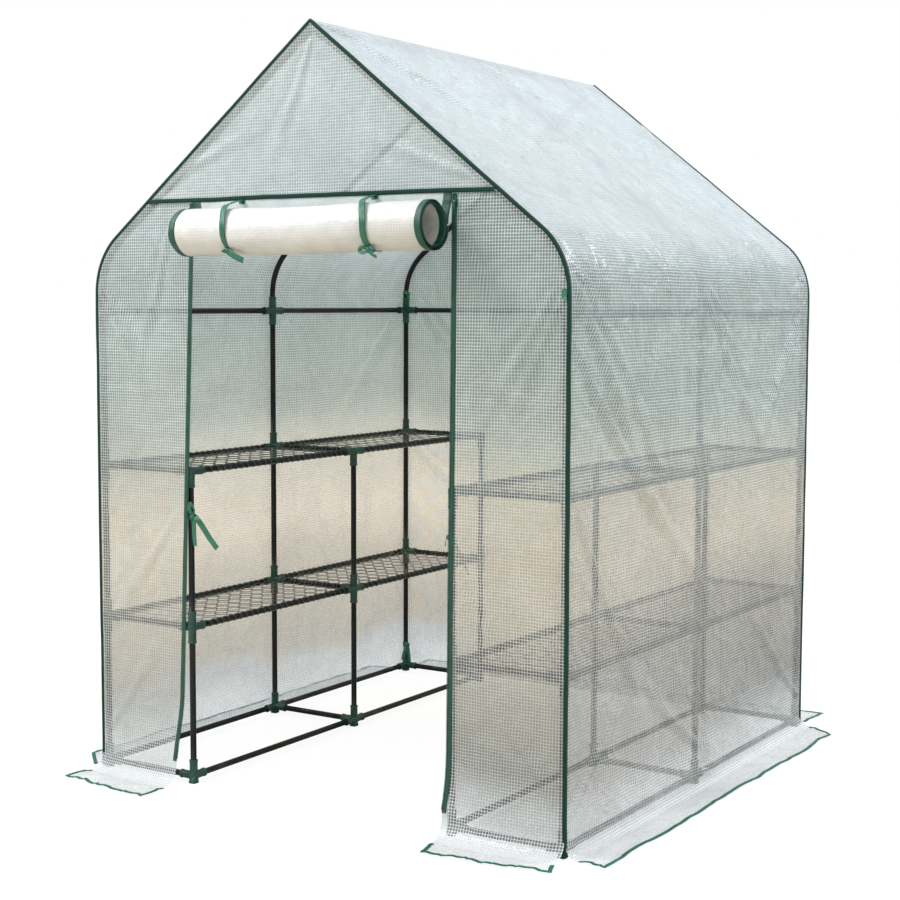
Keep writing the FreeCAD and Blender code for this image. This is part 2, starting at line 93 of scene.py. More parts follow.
def vnoise(x, y, seed=0):
    x, y = np.broadcast_arrays(np.asarray(x, float), np.asarray(y, float))
    ix, iy = np.floor(x), np.floor(y)
    fx, fy = x - ix, y - iy
    fx, fy = fx * fx * fx * (fx * (fx * 6 - 15) + 10), fy * fy * fy * (fy * (fy * 6 - 15) + 10)
    a, b = _lattice(ix, iy, seed), _lattice(ix + 1, iy, seed)
    c, d = _lattice(ix, iy + 1, seed), _lattice(ix + 1, iy + 1, seed)
    return (a * (1 - fx) + b * fx) * (1 - fy) + (c * (1 - fx) + d * fx) * fy


def fbm(x, y, seed=0, octaves=3):
    t, amp, tot = 0.0, 1.0, 0.0
    for o in range(octaves):
        t = t + amp * vnoise(x * 2 ** o + 13.7 * o, y * 2 ** o - 7.3 * o, seed + 17 * o)
        tot += amp
        amp *= 0.5
    return t / tot


def ridged(x, y, seed=0, octaves=3):
    t, amp, tot = 0.0, 1.0, 0.0
    for o in range(octaves):
        t = t + amp * (1 - 2 * np.abs(vnoise(x * 2 ** o + 5.1 * o, y * 2 ** o + 9.2 * o, seed + 31 * o)))
        tot += amp
        amp *= 0.55
    return t / tot


def smooth(a, b, x):
    t = np.clip((x - a) / (b - a), 0, 1)
    return t * t * (3 - 2 * t)


def folds(u, v, p0, p1, width, height, waves=1, seed=0, lean=0.0):
    """Tension folds that run from p0 to p1 across a sheet with flat coordinates u, v: highest near p0, dying out to p1."""
    p0, p1 = np.array(p0, float), np.array(p1, float)
    d = p1 - p0
    n = np.linalg.norm(d)
    d = d / n
    s = ((u - p0[0]) * d[0] + (v - p0[1]) * d[1]) / n
    t = (u - p0[0]) * -d[1] + (v - p0[1]) * d[0]
    t = t + lean * s * s * n + 0.012 * vnoise(s * 3, 0.3 + 0 * s, seed)
    w = width * (0.45 + 0.9 * np.clip(s, 0, 1))
    env = smooth(-0.04, 0.10, s) * (1 - smooth(0.45, 1.05, s))
    out = 0.0
    for k in range(waves):
        off = (k - (waves - 1) / 2) * 2.1
        q = t / w - off
        prof = np.exp(-np.abs(q) ** 1.6) - 0.45 * np.exp(-((np.abs(q) - 1.5) / 0.8) ** 2)
        out = out + prof * (1.0 - 0.25 * abs(off) / max(1, waves))
    return 1.7 * height * env * out


# ------------------------------------------------------------------ mesh helpers
class Build:
    """Collects vertices, faces and flat coordinates for one mesh."""

    def __init__(self):
        self.v, self.f, self.uv, self.n = [], [], [], 0

    def add(self, verts, faces, uv=None):
        verts = np.asarray(verts, float).reshape(-1, 3)
        self.v.append(verts)
        self.uv.append(np.zeros((len(verts), 2)) if uv is None else np.asarray(uv, float).reshape(-1, 2))
        self.f.extend([[int(i) + self.n for i in f] for f in faces])
        self.n += len(verts)
        return self

    def object(self, name, mat, body=ROOT, nodes=(), flat=False):
        me = bpy.data.meshes.new(name)
        v = np.concatenate(self.v)
        me.from_pydata(v.tolist(), [], self.f)
        me.update()
        uv = np.concatenate(self.uv)
        layer = me.uv_layers.new(name="UVMap")
        loops = np.empty(len(me.loops), int)
        me.loops.foreach_get("vertex_index", loops)
        layer.data.foreach_set("uv", uv[loops].ravel().astype(np.float32))
        if not flat:
            me.polygons.foreach_set("use_smooth", np.ones(len(me.polygons), bool))
        ob = bpy.data.objects.new(name, me)
        bpy.context.scene.collection.objects.link(ob)
        me.materials.append(mat)
        if body:
            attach(ob, body)
        if nodes:
            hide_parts(*nodes)
        return ob


def grid_faces(nu, nv, close_u=False, close_v=False):
    f = []
    for i in range(nu if close_u else nu - 1):
        i2 = (i + 1) % nu
        for j in range(nv if close_v else nv - 1):
            j2 = (j + 1) % nv
            f.append((i * nv + j, i2 * nv + j, i2 * nv + j2, i * nv + j2))
    return f


def frames_along(p, up):
    """Tangent, side and up at each point of a polyline."""
    p = np.asarray(p, float)
    t = np.gradient(p, axis=0)
    t /= np.linalg.norm(t, axis=1)[:, None]
    up = np.broadcast_to(np.asarray(up, float), p.shape)
    s = np.cross(t, up)
    s /= np.maximum(np.linalg.norm(s, axis=1), 1e-9)[:, None]
    u = np.cross(s, t)
    return t, s, u


def lengths(p):
    return np.concatenate([[0], np.cumsum(np.linalg.norm(np.diff(p, axis=0), axis=1))])


def tube(b, p, r, n=16, up=(0.0, 0.0, 1.0), caps=True, r_at=None, v0=0.0):
    """Round tube along the polyline p."""
    p = np.asarray(p, float)
    t = p[-1] - p[0]
    if abs(np.dot(t / max(np.linalg.norm(t), 1e-9), up)) > 0.95:
        up = (1.0, 0.0, 0.0)
    _, s, u = frames_along(p, up)
    a = np.linspace(0, 2 * math.pi, n, endpoint=False)
    rr = np.full(len(p), r) if r_at is None else np.asarray(r_at)
    ring = p[:, None, :] + rr[:, None, None] * (np.cos(a)[None, :, None] * s[:, None, :] + np.sin(a)[None, :, None] * u[:, None, :])
    ln = lengths(p)
    uv = np.stack(np.broadcast_arrays((a / (2 * math.pi) * 2 * math.pi * r)[None, :], ln[:, None] + v0), -1)
    f = [tuple(reversed(q)) for q in grid_faces(len(p), n, close_v=True)]
    if caps:
        f.append(tuple(range(n)))
        f.append(tuple(reversed(range((len(p) - 1) * n, len(p) * n))))
    b.add(ring.reshape(-1, 3), [tuple(reversed(q)) for q in f], uv.reshape(-1, 2))


def strip(b, p, side, face, width, thick, wave=0.0, seed=0, rows=5):
    """Flat tape with rounded edges along p; side and face are unit vectors per point: width along side, thickness along face."""
    p = np.asarray(p, float)
    side = np.broadcast_to(np.asarray(side, float), p.shape)
    face = np.broadcast_to(np.asarray(face, float), p.shape)
    w, h = width / 2, thick / 2
    prof = []
    m = rows
    for k in range(m):
        x = -w + 2 * w * k / (m - 1)
        e = 1 - (abs(x) / w) ** 6 * 0.6
        prof.append((x, h * e))
    for k in range(m):
        x = w - 2 * w * k / (m - 1)
        e = 1 - (abs(x) / w) ** 6 * 0.6
        prof.append((x, -h * e))
    prof = np.array(prof)
    ln = lengths(p)
    wob = wave * vnoise(ln * 18.0, 0 * ln + 0.5, seed)
    ring = p[:, None, :] + (prof[None, :, 0:1] + wob[:, None, None]) * side[:, None, :] + prof[None, :, 1:2] * face[:, None, :]
    uv = np.stack(np.broadcast_arrays(prof[None, :, 0], ln[:, None]), -1)
    n = len(prof)
    f = grid_faces(len(p), n, close_v=True)
    f.append(tuple(reversed(range(n))))
    f.append(tuple(range((len(p) - 1) * n, len(p) * n)))
    b.add(ring.reshape(-1, 3), f, uv.reshape(-1, 2))


def swept(b, p, xa, xb, prof, close=True):
    """Sweep a closed profile (a along xa, b along xb) along p."""
    p = np.asarray(p, float)
    xa = np.broadcast_to(np.asarray(xa, float), p.shape)
    xb = np.broadcast_to(np.asarray(xb, float), p.shape)
    prof = np.asarray(prof, float)
    ring = p[:, None, :] + prof[None, :, 0:1] * xa[:, None, :] + prof[None, :, 1:2] * xb[:, None, :]
    ln = lengths(p)
    around = np.concatenate([[0], np.cumsum(np.linalg.norm(np.diff(prof, axis=0), axis=1))])
    uv = np.stack(np.broadcast_arrays(around[None, :], ln[:, None]), -1)
    n = len(prof)
    f = grid_faces(len(p), n, close_v=True)
    f.append(tuple(reversed(range(n))))
    f.append(tuple(range((len(p) - 1) * n, len(p) * n)))
    b.add(ring.reshape(-1, 3), f, uv.reshape(-1, 2))


def sheet_object(name, P, UV, mat, nodes, body=ROOT):
    nu, nv = P.shape[:2]
    b = Build()
    b.add(P.reshape(-1, 3), grid_faces(nu, nv), UV.reshape(-1, 2))
    return b.object(name, mat, body, nodes)


# ------------------------------------------------------------------ materials
class Nodes:
    def __init__(self, name):
        self.m = bpy.data.materials.new(name)
        self.m.use_nodes = True
        self.t = self.m.node_tree
        self.t.nodes.clear()
        self.out = self.t.nodes.new("ShaderNodeOutputMaterial")

    def new(self, kind, **kw):
        n = self.t.nodes.new(kind)
        for k, v in kw.items():
            setattr(n, k, v)
        return n

    def link(self, a, b):
        self.t.links.new(a, b)

    def math(self, op, a, b=None, c=None, clamp=False):
        n = self.new("ShaderNodeMath", operation=op)
        n.use_clamp = clamp
        for i, v in enumerate((a, b, c)):
            if v is None:
                continue
            if isinstance(v, (int, float)):
                n.inputs[i].default_value = v
            else:
                self.link(v, n.inputs[i])
        return n.outputs[0]

    def mix(self, fac, a, b, blend="MIX"):
        n = self.new("ShaderNodeMix", data_type="RGBA", blend_type=blend)
        for i, v in ((0, fac), (6, a), (7, b)):
            if isinstance(v, (int, float)):
                n.inputs[i].default_value = v
            elif isinstance(v, (tuple, list)):
                n.inputs[i].default_value = (*v[:3], 1.0)
            else:
                self.link(v, n.inputs[i])
        return n.outputs[2]

    def noise(self, scale, detail=3.0, rough=0.5, vec=None, dist=0.0):
        n = self.new("ShaderNodeTexNoise")
        n.inputs["Scale"].default_value = scale
        n.inputs["Detail"].default_value = detail
        n.inputs["Roughness"].default_value = rough
        n.inputs["Distortion"].default_value = dist
        self.link(vec if vec is not None else self.obj(), n.inputs["Vector"])
        return n.outputs["Fac"]

    def coord(self):
        if not hasattr(self, "_c"):
            self._c = self.new("ShaderNodeTexCoord")
        return self._c

    def obj(self):
        return self.coord().outputs["Object"]

    def uv(self):
        return self.coord().outputs["UV"]

    def xyz(self, v):
        n = self.new("ShaderNodeSeparateXYZ")
        self.link(v, n.inputs[0])
        return n.outputs

    def ramp(self, fac, stops, mode="LINEAR"):
        n = self.new("ShaderNodeValToRGB")
        n.color_ramp.interpolation = mode
        e = n.color_ramp.elements
        while len(e) < len(stops):
            e.new(0.5)
        for k, (p, c) in enumerate(stops):
            e[k].position = p
            e[k].color = (*c[:3], 1.0) if len(c) == 3 else c
        self.link(fac, n.inputs[0])
        return n.outputs[0]

    def bump(self, height, strength=0.3, distance=0.001, normal=None):
        n = self.new("ShaderNodeBump")
        n.inputs["Strength"].default_value = strength
        n.inputs["Distance"].default_value = distance
        self.link(height, n.inputs["Height"])
        if normal is not None:
            self.link(normal, n.inputs["Normal"])
        return n.outputs[0]

    def principled(self, color, rough, normal=None, **kw):
        n = self.new("ShaderNodeBsdfPrincipled")
        for key, v in (("Base Color", color), ("Roughness", rough)):
            if isinstance(v, (int, float)):
                n.inputs[key].default_value = v
            elif isinstance(v, (tuple, list)):
                n.inputs[key].default_value = (*v[:3], 1.0)
            else:
                self.link(v, n.inputs[key])
        for key, v in kw.items():
            n.inputs[key.replace("_", " ")].default_value = v
        if normal is not None:
            self.link(normal, n.inputs["Normal"])
        return n

    def done(self, shader):
        self.link(shader, self.out.inputs["Surface"])
        return self.m


def steel_green():
    n = Nodes("tube_green_gloss")
    a = n.noise(9.0, 4.0, 0.6)
    c = n.ramp(a, [(0.3, (0.0012, 0.0034, 0.0026)), (0.7, (0.0030, 0.0075, 0.0058))])
    fine = n.noise(900.0, 2.0, 0.5)
    r = n.math("MULTIPLY_ADD", n.noise(40.0, 3.0), 0.22, 0.20)
    nb = n.bump(fine, 0.25, 0.0002)
    return n.done(n.principled(c, r, nb, Metallic=0.0, IOR=1.45, Specular_IOR_Level=0.32, Coat_Weight=0.10, Coat_Roughness=0.22).outputs[0])


def plastic_green():
    n = Nodes("connector_green_moulded")
    a = n.noise(30.0, 3.0, 0.6)
    c = n.ramp(a, [(0.3, (0.0045, 0.040, 0.026)), (0.7, (0.0110, 0.078, 0.052))])
    grain = n.noise(1600.0, 2.0, 0.6)
    r = n.math("MULTIPLY_ADD", n.noise(120.0, 2.0), 0.20, 0.30)
    nb = n.bump(grain, 0.35, 0.0003)
    return n.done(n.principled(c, r, nb, IOR=1.49, Coat_Weight=0.1, Coat_Roughness=0.3).outputs[0])


def wire_coated():
    n = Nodes("shelf_wire_coated")
    a = n.noise(60.0, 3.0, 0.6)
    c = n.ramp(a, [(0.3, (0.055, 0.060, 0.052)), (0.7, (0.130, 0.130, 0.115))])
    r = n.math("MULTIPLY_ADD", n.noise(300.0, 2.0), 0.25, 0.28)
    nb = n.bump(n.noise(700.0, 2.0), 0.4, 0.0003)
    return n.done(n.principled(c, r, nb, IOR=1.5, Coat_Weight=0.25, Coat_Roughness=0.25).outputs[0])


def woven(name, dark, light, pitch=0.0011, rough=0.72, sheen=0.25, stitch=False, spec=0.5):
    """Woven tape: fine diagonal rib from the flat coordinates, with colour wander."""
    n = Nodes(name)
    u = n.xyz(n.uv())
    k = 2 * math.pi / pitch
    a = n.math("SINE", n.math("MULTIPLY", n.math("ADD", u[0], u[1]), k))
    b2 = n.math("SINE", n.math("MULTIPLY", n.math("SUBTRACT", u[0], u[1]), k * 0.5))
    h = n.math("MULTIPLY_ADD", n.math("MULTIPLY", a, b2), 0.5, 0.5)
    wander = n.noise(22.0, 4.0, 0.6)
    base = n.mix(n.ramp(wander, [(0.3, (0, 0, 0)), (0.7, (1, 1, 1))]), dark, light)
    c = n.mix(n.math("MULTIPLY", h, 0.35), base, tuple(min(1, x * 1.7) for x in light))
    if stitch:
        s = n.math("GREATER_THAN", n.math("SINE", n.math("MULTIPLY", u[1], 2 * math.pi / 0.0035)), -0.2)
        line = n.math("LESS_THAN", n.math("ABSOLUTE", n.math("SUBTRACT", n.math("ABSOLUTE", u[0]), stitch)), 0.0004)
        st = n.math("MULTIPLY", s, line)
        c = n.mix(st, c, tuple(x * 0.55 for x in dark))
        h = n.math("SUBTRACT", h, n.math("MULTIPLY", st, 1.6))
    r = n.math("MULTIPLY_ADD", wander, 0.2, rough - 0.1)
    nb = n.bump(h, 0.5, 0.0004)
    return n.done(n.principled(c, r, nb, Sheen_Weight=sheen, Sheen_Roughness=0.45, Specular_IOR_Level=spec).outputs[0])


def scrim(name, cell, tape, behind_colour, see=0.80, tape_see=0.24, pitch=0.0075, width=0.0028, rough=0.30, glow=0.32, sky_glare=None, bump=0.85):
    """Reinforced sheet: flat white tapes in a square grid between two clear films.
    cell and tape are colour stops by height; see and tape_see are how clear the cells and the tapes are."""
    n = Nodes(name)
    u = n.xyz(n.uv())
    wob = n.math("MULTIPLY_ADD", n.noise(26.0, 2.0), 0.0014, -0.0007)

    def band(c, w):
        m = n.math("PINGPONG", n.math("ADD", c, wob), pitch / 2)      # 0 at a tape's middle, pitch / 2 in a cell's
        return n.math("SUBTRACT", 1.0, n.math("DIVIDE", n.math("SUBTRACT", m, w / 2 - 0.0003), 0.0006, clamp=True), clamp=True)
    bu, bv = band(u[0], width), band(u[1], width * 0.92)
    both = n.math("MAXIMUM", bu, bv)
    cross = n.math("MULTIPLY", bu, bv)
    # the colours are looked up by the object's height, so painted light, reflection and shade by height go into the
    # film's colour here
    zf = n.math("DIVIDE", n.xyz(n.obj())[2], 1.94, clamp=True)
    c_cell = n.ramp(n.math("MULTIPLY_ADD", n.noise(2.3, 3.0), 0.16, n.math("SUBTRACT", zf, 0.08)), cell, "EASE")
    c_tape = n.ramp(zf, tape, "EASE")
    cloudy = n.noise(3.1, 4.0, 0.55)
    patch = n.noise(11.0, 4.0, 0.6, dist=1.2)
    shade = n.math("MULTIPLY_ADD", patch, 0.34, n.math("MULTIPLY_ADD", cloudy, 0.26, 0.70))
    grey = n.new("ShaderNodeCombineColor")
    for k in range(3):
        n.link(shade, grey.inputs[k])
    col = n.mix(both, c_cell, c_tape)
    col = n.mix(1.0, col, grey.outputs[0], "MULTIPLY")

    def crease(scale, detail, dist, power):
        v = n.noise(scale, detail, 0.5, dist=dist)
        return n.math("POWER", n.math("SUBTRACT", 1.0, n.math("ABSOLUTE", n.math("MULTIPLY_ADD", v, 2.0, -1.0)), clamp=True), power)
    h1 = n.math("MULTIPLY", crease(7.0, 2.0, 0.9, 7.0), 0.9)
    h2 = n.math("MULTIPLY", crease(23.0, 2.0, 0.8, 6.0), 0.75)
    h3 = n.math("MULTIPLY", crease(70.0, 2.0, 0.5, 4.0), 0.30)
    soft = n.math("MULTIPLY", n.noise(12.0, 3.0, 0.55, dist=0.7), 1.3)
    height = n.math("ADD", n.math("ADD", n.math("ADD", h1, h2), n.math("ADD", h3, soft)), n.math("MULTIPLY", both, 0.12))
    nb = n.bump(height, bump, 0.0034)
    r = n.math("MULTIPLY_ADD", cloudy, 0.20, rough - 0.08)
    solid = n.principled(col, r, nb, IOR=1.5, Specular_IOR_Level=0.55, Coat_Weight=0.30, Coat_Roughness=0.14)
    back = n.new("ShaderNodeBsdfTranslucent")
    n.link(col, back.inputs["Color"])
    n.link(nb, back.inputs["Normal"])
    body = n.new("ShaderNodeMixShader")
    body.inputs[0].default_value = glow
    n.link(solid.outputs[0], body.inputs[1])
    n.link(back.outputs[0], body.inputs[2])
    # what shows through the clear parts is coloured by height: painted shade and ground colour of what lies behind
    clear = n.new("ShaderNodeBsdfTransparent")
    n.link(n.ramp(n.math("MULTIPLY_ADD", n.noise(1.9, 3.0), 0.14, n.math("SUBTRACT", zf, 0.07)), behind_colour, "EASE"), clear.inputs["Color"])
    op = n.math("MULTIPLY_ADD", both, see - tape_see, 1.0 - see)
    op = n.math("MAXIMUM", op, n.math("MULTIPLY", cross, 0.96))
    # the creases read whiter and less clear: partly the film's own crease whitening, partly painted highlight along the
    # folds
    wear = n.math("MULTIPLY", crease(7.0, 2.0, 0.9, 7.0), 0.09)            # folds show whiter and less clear
    op = n.math("ADD", op, wear, clamp=True)
    # painted sky glare: high up, less of the sheet stays clear, so the roof shows its lighter colour over the frame
    if sky_glare:
        op = n.math("SUBTRACT", 1.0, n.math("MULTIPLY", n.math("SUBTRACT", 1.0, op), n.ramp(zf, sky_glare, "EASE")))
    final = n.new("ShaderNodeMixShader")
    n.link(op, final.inputs[0])
    n.link(clear.outputs[0], final.inputs[1])
    n.link(body.outputs[0], final.inputs[2])
    return n.done(final.outputs[0])


M_TUBE = steel_green()
M_PLASTIC = plastic_green()
M_WIRE = wire_coated()
M_BIND = woven("binding_green", (0.0006, 0.020, 0.012), (0.0015, 0.036, 0.022), stitch=0.0036, sheen=0.0, spec=0.25)
M_TAPE = woven("zip_tape_green", (0.0005, 0.028, 0.017), (0.0014, 0.062, 0.038), pitch=0.0013, rough=0.34, sheen=0.0, spec=0.5)
M_HEM = woven("hem_green", (0.0010, 0.060, 0.036), (0.0030, 0.120, 0.075), pitch=0.0013, rough=0.5, sheen=0.0, spec=0.3)
M_RIBBON = woven("ribbon_green", (0.0010, 0.062, 0.030), (0.004, 0.150, 0.078), pitch=0.0009, rough=0.24, sheen=0.0, spec=0.7)
M_TEETH = plastic_green()
M_TEETH.name = "zip_teeth_green"
def stops(*rows):
    return [(z / 1.94, c) for z, c in rows]


# colours by height in metres, with painted light and shade in them: the cells and tapes carry painted sky light
# (lighter on the upward-facing skirts, the foot flare and the roof) and painted reflection of the surroundings (darker
# low on the walls, beige in the middle, grey-green higher up); the see-through colours carry painted shade and ground
# colour of what lies behind
SKIRT_CELL, SKIRT_TAPE, SKIRT_PAINTED_BEHIND = (0.74, 0.77, 0.79), (0.84, 0.86, 0.87), (0.80, 0.82, 0.84)
CELL = stops((0, SKIRT_CELL), (0.06, (0.62, 0.65, 0.66)), (0.17, (0.38, 0.385, 0.385)), (0.42, (0.42, 0.41, 0.38)), (0.62, (0.54, 0.52, 0.475)),
             (0.80, (0.53, 0.53, 0.50)), (0.97, (0.55, 0.60, 0.60)), (1.30, (0.56, 0.62, 0.63)), (1.55, (0.56, 0.63, 0.64)), (1.94, (0.56, 0.63, 0.64)))
TAPE = stops((0, SKIRT_TAPE), (0.06, (0.74, 0.77, 0.78)), (0.20, (0.54, 0.55, 0.55)), (0.64, (0.68, 0.675, 0.645)), (0.97, (0.64, 0.69, 0.685)), (1.30, (0.64, 0.70, 0.71)), (1.94, (0.63, 0.69, 0.70)))
PAINTED_BEHIND_L = stops((0, SKIRT_PAINTED_BEHIND), (0.12, (0.66, 0.68, 0.70)), (0.21, (0.62, 0.57, 0.48)), (0.42, (0.70, 0.62, 0.50)), (0.62, (0.96, 0.84, 0.68)),
               (0.80, (0.80, 0.73, 0.59)), (0.97, (0.34, 0.37, 0.31)), (1.22, (0.25, 0.30, 0.255)), (1.46, (0.12, 0.17, 0.135)), (1.94, (0.34, 0.40, 0.38)))
PAINTED_BEHIND_R = stops((0, SKIRT_PAINTED_BEHIND), (0.09, (0.58, 0.59, 0.60)), (0.21, (0.36, 0.35, 0.34)), (0.42, (0.42, 0.41, 0.39)), (0.62, (0.78, 0.73, 0.65)),
               (0.80, (0.66, 0.62, 0.52)), (0.97, (0.40, 0.43, 0.38)), (1.22, (0.32, 0.38, 0.34)), (1.46, (0.26, 0.33, 0.30)), (1.94, (0.34, 0.40, 0.38)))
PAINTED_BEHIND_FR = stops((0, SKIRT_PAINTED_BEHIND), (0.09, (0.40, 0.41, 0.40)), (0.21, (0.20, 0.195, 0.15)), (0.38, (0.32, 0.295, 0.23)), (0.56, (0.86, 0.77, 0.62)),
                (0.80, (0.76, 0.71, 0.58)), (0.97, (0.44, 0.47, 0.40)), (1.22, (0.36, 0.42, 0.36)), (1.46, (0.30, 0.36, 0.31)), (1.94, (0.34, 0.40, 0.38)))
PAINTED_BEHIND_FL = stops((0, SKIRT_PAINTED_BEHIND), (0.12, (0.84, 0.85, 0.82)), (0.30, (0.92, 0.90, 0.83)), (0.60, (0.94, 0.89, 0.79)), (0.97, (0.60, 0.63, 0.58)), (1.30, (0.46, 0.52, 0.48)), (1.94, (0.40, 0.46, 0.44)))
# side sheets, roof included: lighter and bluer towards the ridge, painted sky light on the roof
TOP_CELL = CELL[:6] + stops((0.97, (0.60, 0.66, 0.68)), (1.30, (0.64, 0.71, 0.735)), (1.42, (0.69, 0.745, 0.79)), (1.94, (0.725, 0.78, 0.825)))
TOP_TAPE = TAPE[:4] + stops((0.97, (0.68, 0.74, 0.755)), (1.30, (0.70, 0.765, 0.79)), (1.42, (0.745, 0.795, 0.835)), (1.94, (0.775, 0.825, 0.865)))
# above 1.32 m the clear share falls to 0.42: painted sky glare that makes the roof read lighter and hides the frame
# behind it
SKY_GLARE = stops((0, (1, 1, 1)), (1.32, (1, 1, 1)), (1.47, (0.42, 0.42, 0.42)), (1.94, (0.42, 0.42, 0.42)))
# rolled door: beige below 1.37 m, grey-white above 1.46 m, so the roll is beige underneath and lighter on top: painted
# ground-coloured shade underneath, painted light on top
DOOR_CELL = stops((0, (0.78, 0.75, 0.67)), (1.37, (0.80, 0.77, 0.69)), (1.46, (0.80, 0.80, 0.79)), (1.94, (0.80, 0.80, 0.79)))
DOOR_TAPE = stops((0, (0.82, 0.79, 0.71)), (1.37, (0.84, 0.81, 0.73)), (1.46, (0.83, 0.83, 0.82)), (1.94, (0.83, 0.83, 0.82)))
GREY = stops((0, (0.60, 0.65, 0.655)), (1.94, (0.60, 0.65, 0.655)))
GREY2 = stops((0, (0.64, 0.69, 0.69)), (1.94, (0.64, 0.69, 0.69)))
M_SIDE_R = scrim("scrim_side_right", TOP_CELL, TOP_TAPE, PAINTED_BEHIND_R, see=0.76, tape_see=0.28, sky_glare=SKY_GLARE, bump=1.0)
M_SIDE_L = scrim("scrim_side_left", TOP_CELL, TOP_TAPE, PAINTED_BEHIND_L, see=0.76, tape_see=0.34, sky_glare=SKY_GLARE)
M_FRONT_R = scrim("scrim_front_right", CELL, TAPE, PAINTED_BEHIND_FR, see=0.83, tape_see=0.32, bump=0.42)
M_FRONT_L = scrim("scrim_front_left", CELL, TAPE, PAINTED_BEHIND_FL, see=0.80, tape_see=0.32, bump=0.42)
M_REAR = scrim("scrim_rear", CELL, TAPE, PAINTED_BEHIND_L, see=0.76, tape_see=0.32)
M_GABLE = scrim("scrim_gable", GREY, GREY2, stops((0, (0.55, 0.62, 0.61)), (1.94, (0.55, 0.62, 0.61))), see=0.66, tape_see=0.22, bump=0.30)
M_DOOR = scrim("door_scrim", DOOR_CELL, DOOR_TAPE, DOOR_CELL, see=0.12, tape_see=0.03, glow=0.30, bump=0.22)
M_DOOR_UP = scrim("door_upper_scrim", GREY2, GREY2, GREY2, see=0.12, tape_see=0.03, glow=0.30, bump=0.25)

# ------------------------------------------------------------------ steel tubes
END = 0.013


def run(a, b, ea=END, eb=END, step=0.12):
    a, b = np.array(a, float), np.array(b, float)
    L = np.linalg.norm(b - a)
    d = (b - a) / L
    s, e = ea, L - eb
    n = max(2, int((e - s) / step) + 1)
    return a + d * np.linspace(s, e, n)[:, None]


def tubes(name, paths, node, up=(0.0, 0.0, 1.0)):
    b = Build()
    for p in paths:
        tube(b, p, TR, 24, up=up)
    return b.object(name, M_TUBE, ROOT, (node,))


def post_paths(z0, z1, inner):
    xs = (-HX, HX) + ((-IX, IX) if inner else ())
    return [run((x, y, z0), (x, y, z1)) for x in xs for y in YS]


tubes("lower_posts", post_paths(Z_BASE, Z_LOW, True), "post_tubes_lower")
tubes("middle_posts", post_paths(Z_LOW, Z_UP, True), "post_tubes_middle")
tubes("upper_posts", post_paths(Z_UP, Z_EAVE, False), "post_tubes_upper")

bends, rafters = [], []
for side in (-1, 1):
    for y in YS:
        arc = [(side * (CX + BEND_R * math.cos(t)), y, CZ + BEND_R * math.sin(t)) for t in np.linspace(0, TURN, 22)]
        c = np.array(arc[-1])
        up = np.array((-side * math.cos(SLOPE), 0, math.sin(SLOPE)))
        e = c + up * 0.060
        bends.append(np.array([(side * HX, y, Z_EAVE + END), (side * HX, y, CZ - 0.004)] + arc + [tuple(c + up * 0.004), tuple(e)]))
        apex = np.array((0, y, Z_APEX))
        s0 = e + up * 0.0006
        L = np.linalg.norm(apex - s0)
        rafters.append((s0, up, L - END))
tubes("eave_bends", bends, "eave_bend_tubes", up=(0.0, 1.0, 0.0))
b = Build()
for s0, up, L in rafters:
    p = np.array([s0 - up * 0.028, s0 - up * 0.002, s0 - up * 0.0002, s0 + up * 0.0006] + [s0 + up * q for q in np.linspace(0.05, L, 6)])
    tube(b, p, TR, 24, r_at=[0.0070, 0.0070, 0.0070, TR] + [TR] * 6)
b.object("rafters", M_TUBE, ROOT, ("rafter_tubes",))
tubes("ridge", [run((0, YS[i], Z_APEX), (0, YS[i + 1], Z_APEX)) for i in (0, 1)], "ridge_tubes")
tubes("side_eave", [run((s * HX, YS[i], Z_EAVE), (s * HX, YS[i + 1], Z_EAVE)) for s in (-1, 1) for i in (0, 1)], "side_eave_rails")
tubes("back_eave", [run((-HX, HY, Z_EAVE), (HX, HY, Z_EAVE))], "back_eave_rail")


def rail_paths(x, z):
    return [run((s * x, YS[i], z), (s * x, YS[i + 1], z)) for s in (-1, 1) for i in (0, 1)]


def cross_paths(z):
    return [run((s * IX, y, z), (s * HX, y, z)) for s in (-1, 1) for y in YS]


tubes("base_outer", rail_paths(HX, Z_BASE), "base_rails_outer")
tubes("base_inner", rail_paths(IX, Z_BASE), "base_rails_inner")
tubes("base_cross", cross_paths(Z_BASE), "base_cross_tubes")
tubes("lower_shelf_cross", cross_paths(Z_LOW), "lower_shelf_cross_tubes")
tubes("upper_shelf_cross", cross_paths(Z_UP), "upper_shelf_cross_tubes")
tubes("lower_shelf_side", rail_paths(HX, Z_LOW) + rail_paths(IX, Z_LOW), "lower_shelf_rails")
tubes("upper_shelf_side", rail_paths(HX, Z_UP) + rail_paths(IX, Z_UP), "upper_shelf_rails")


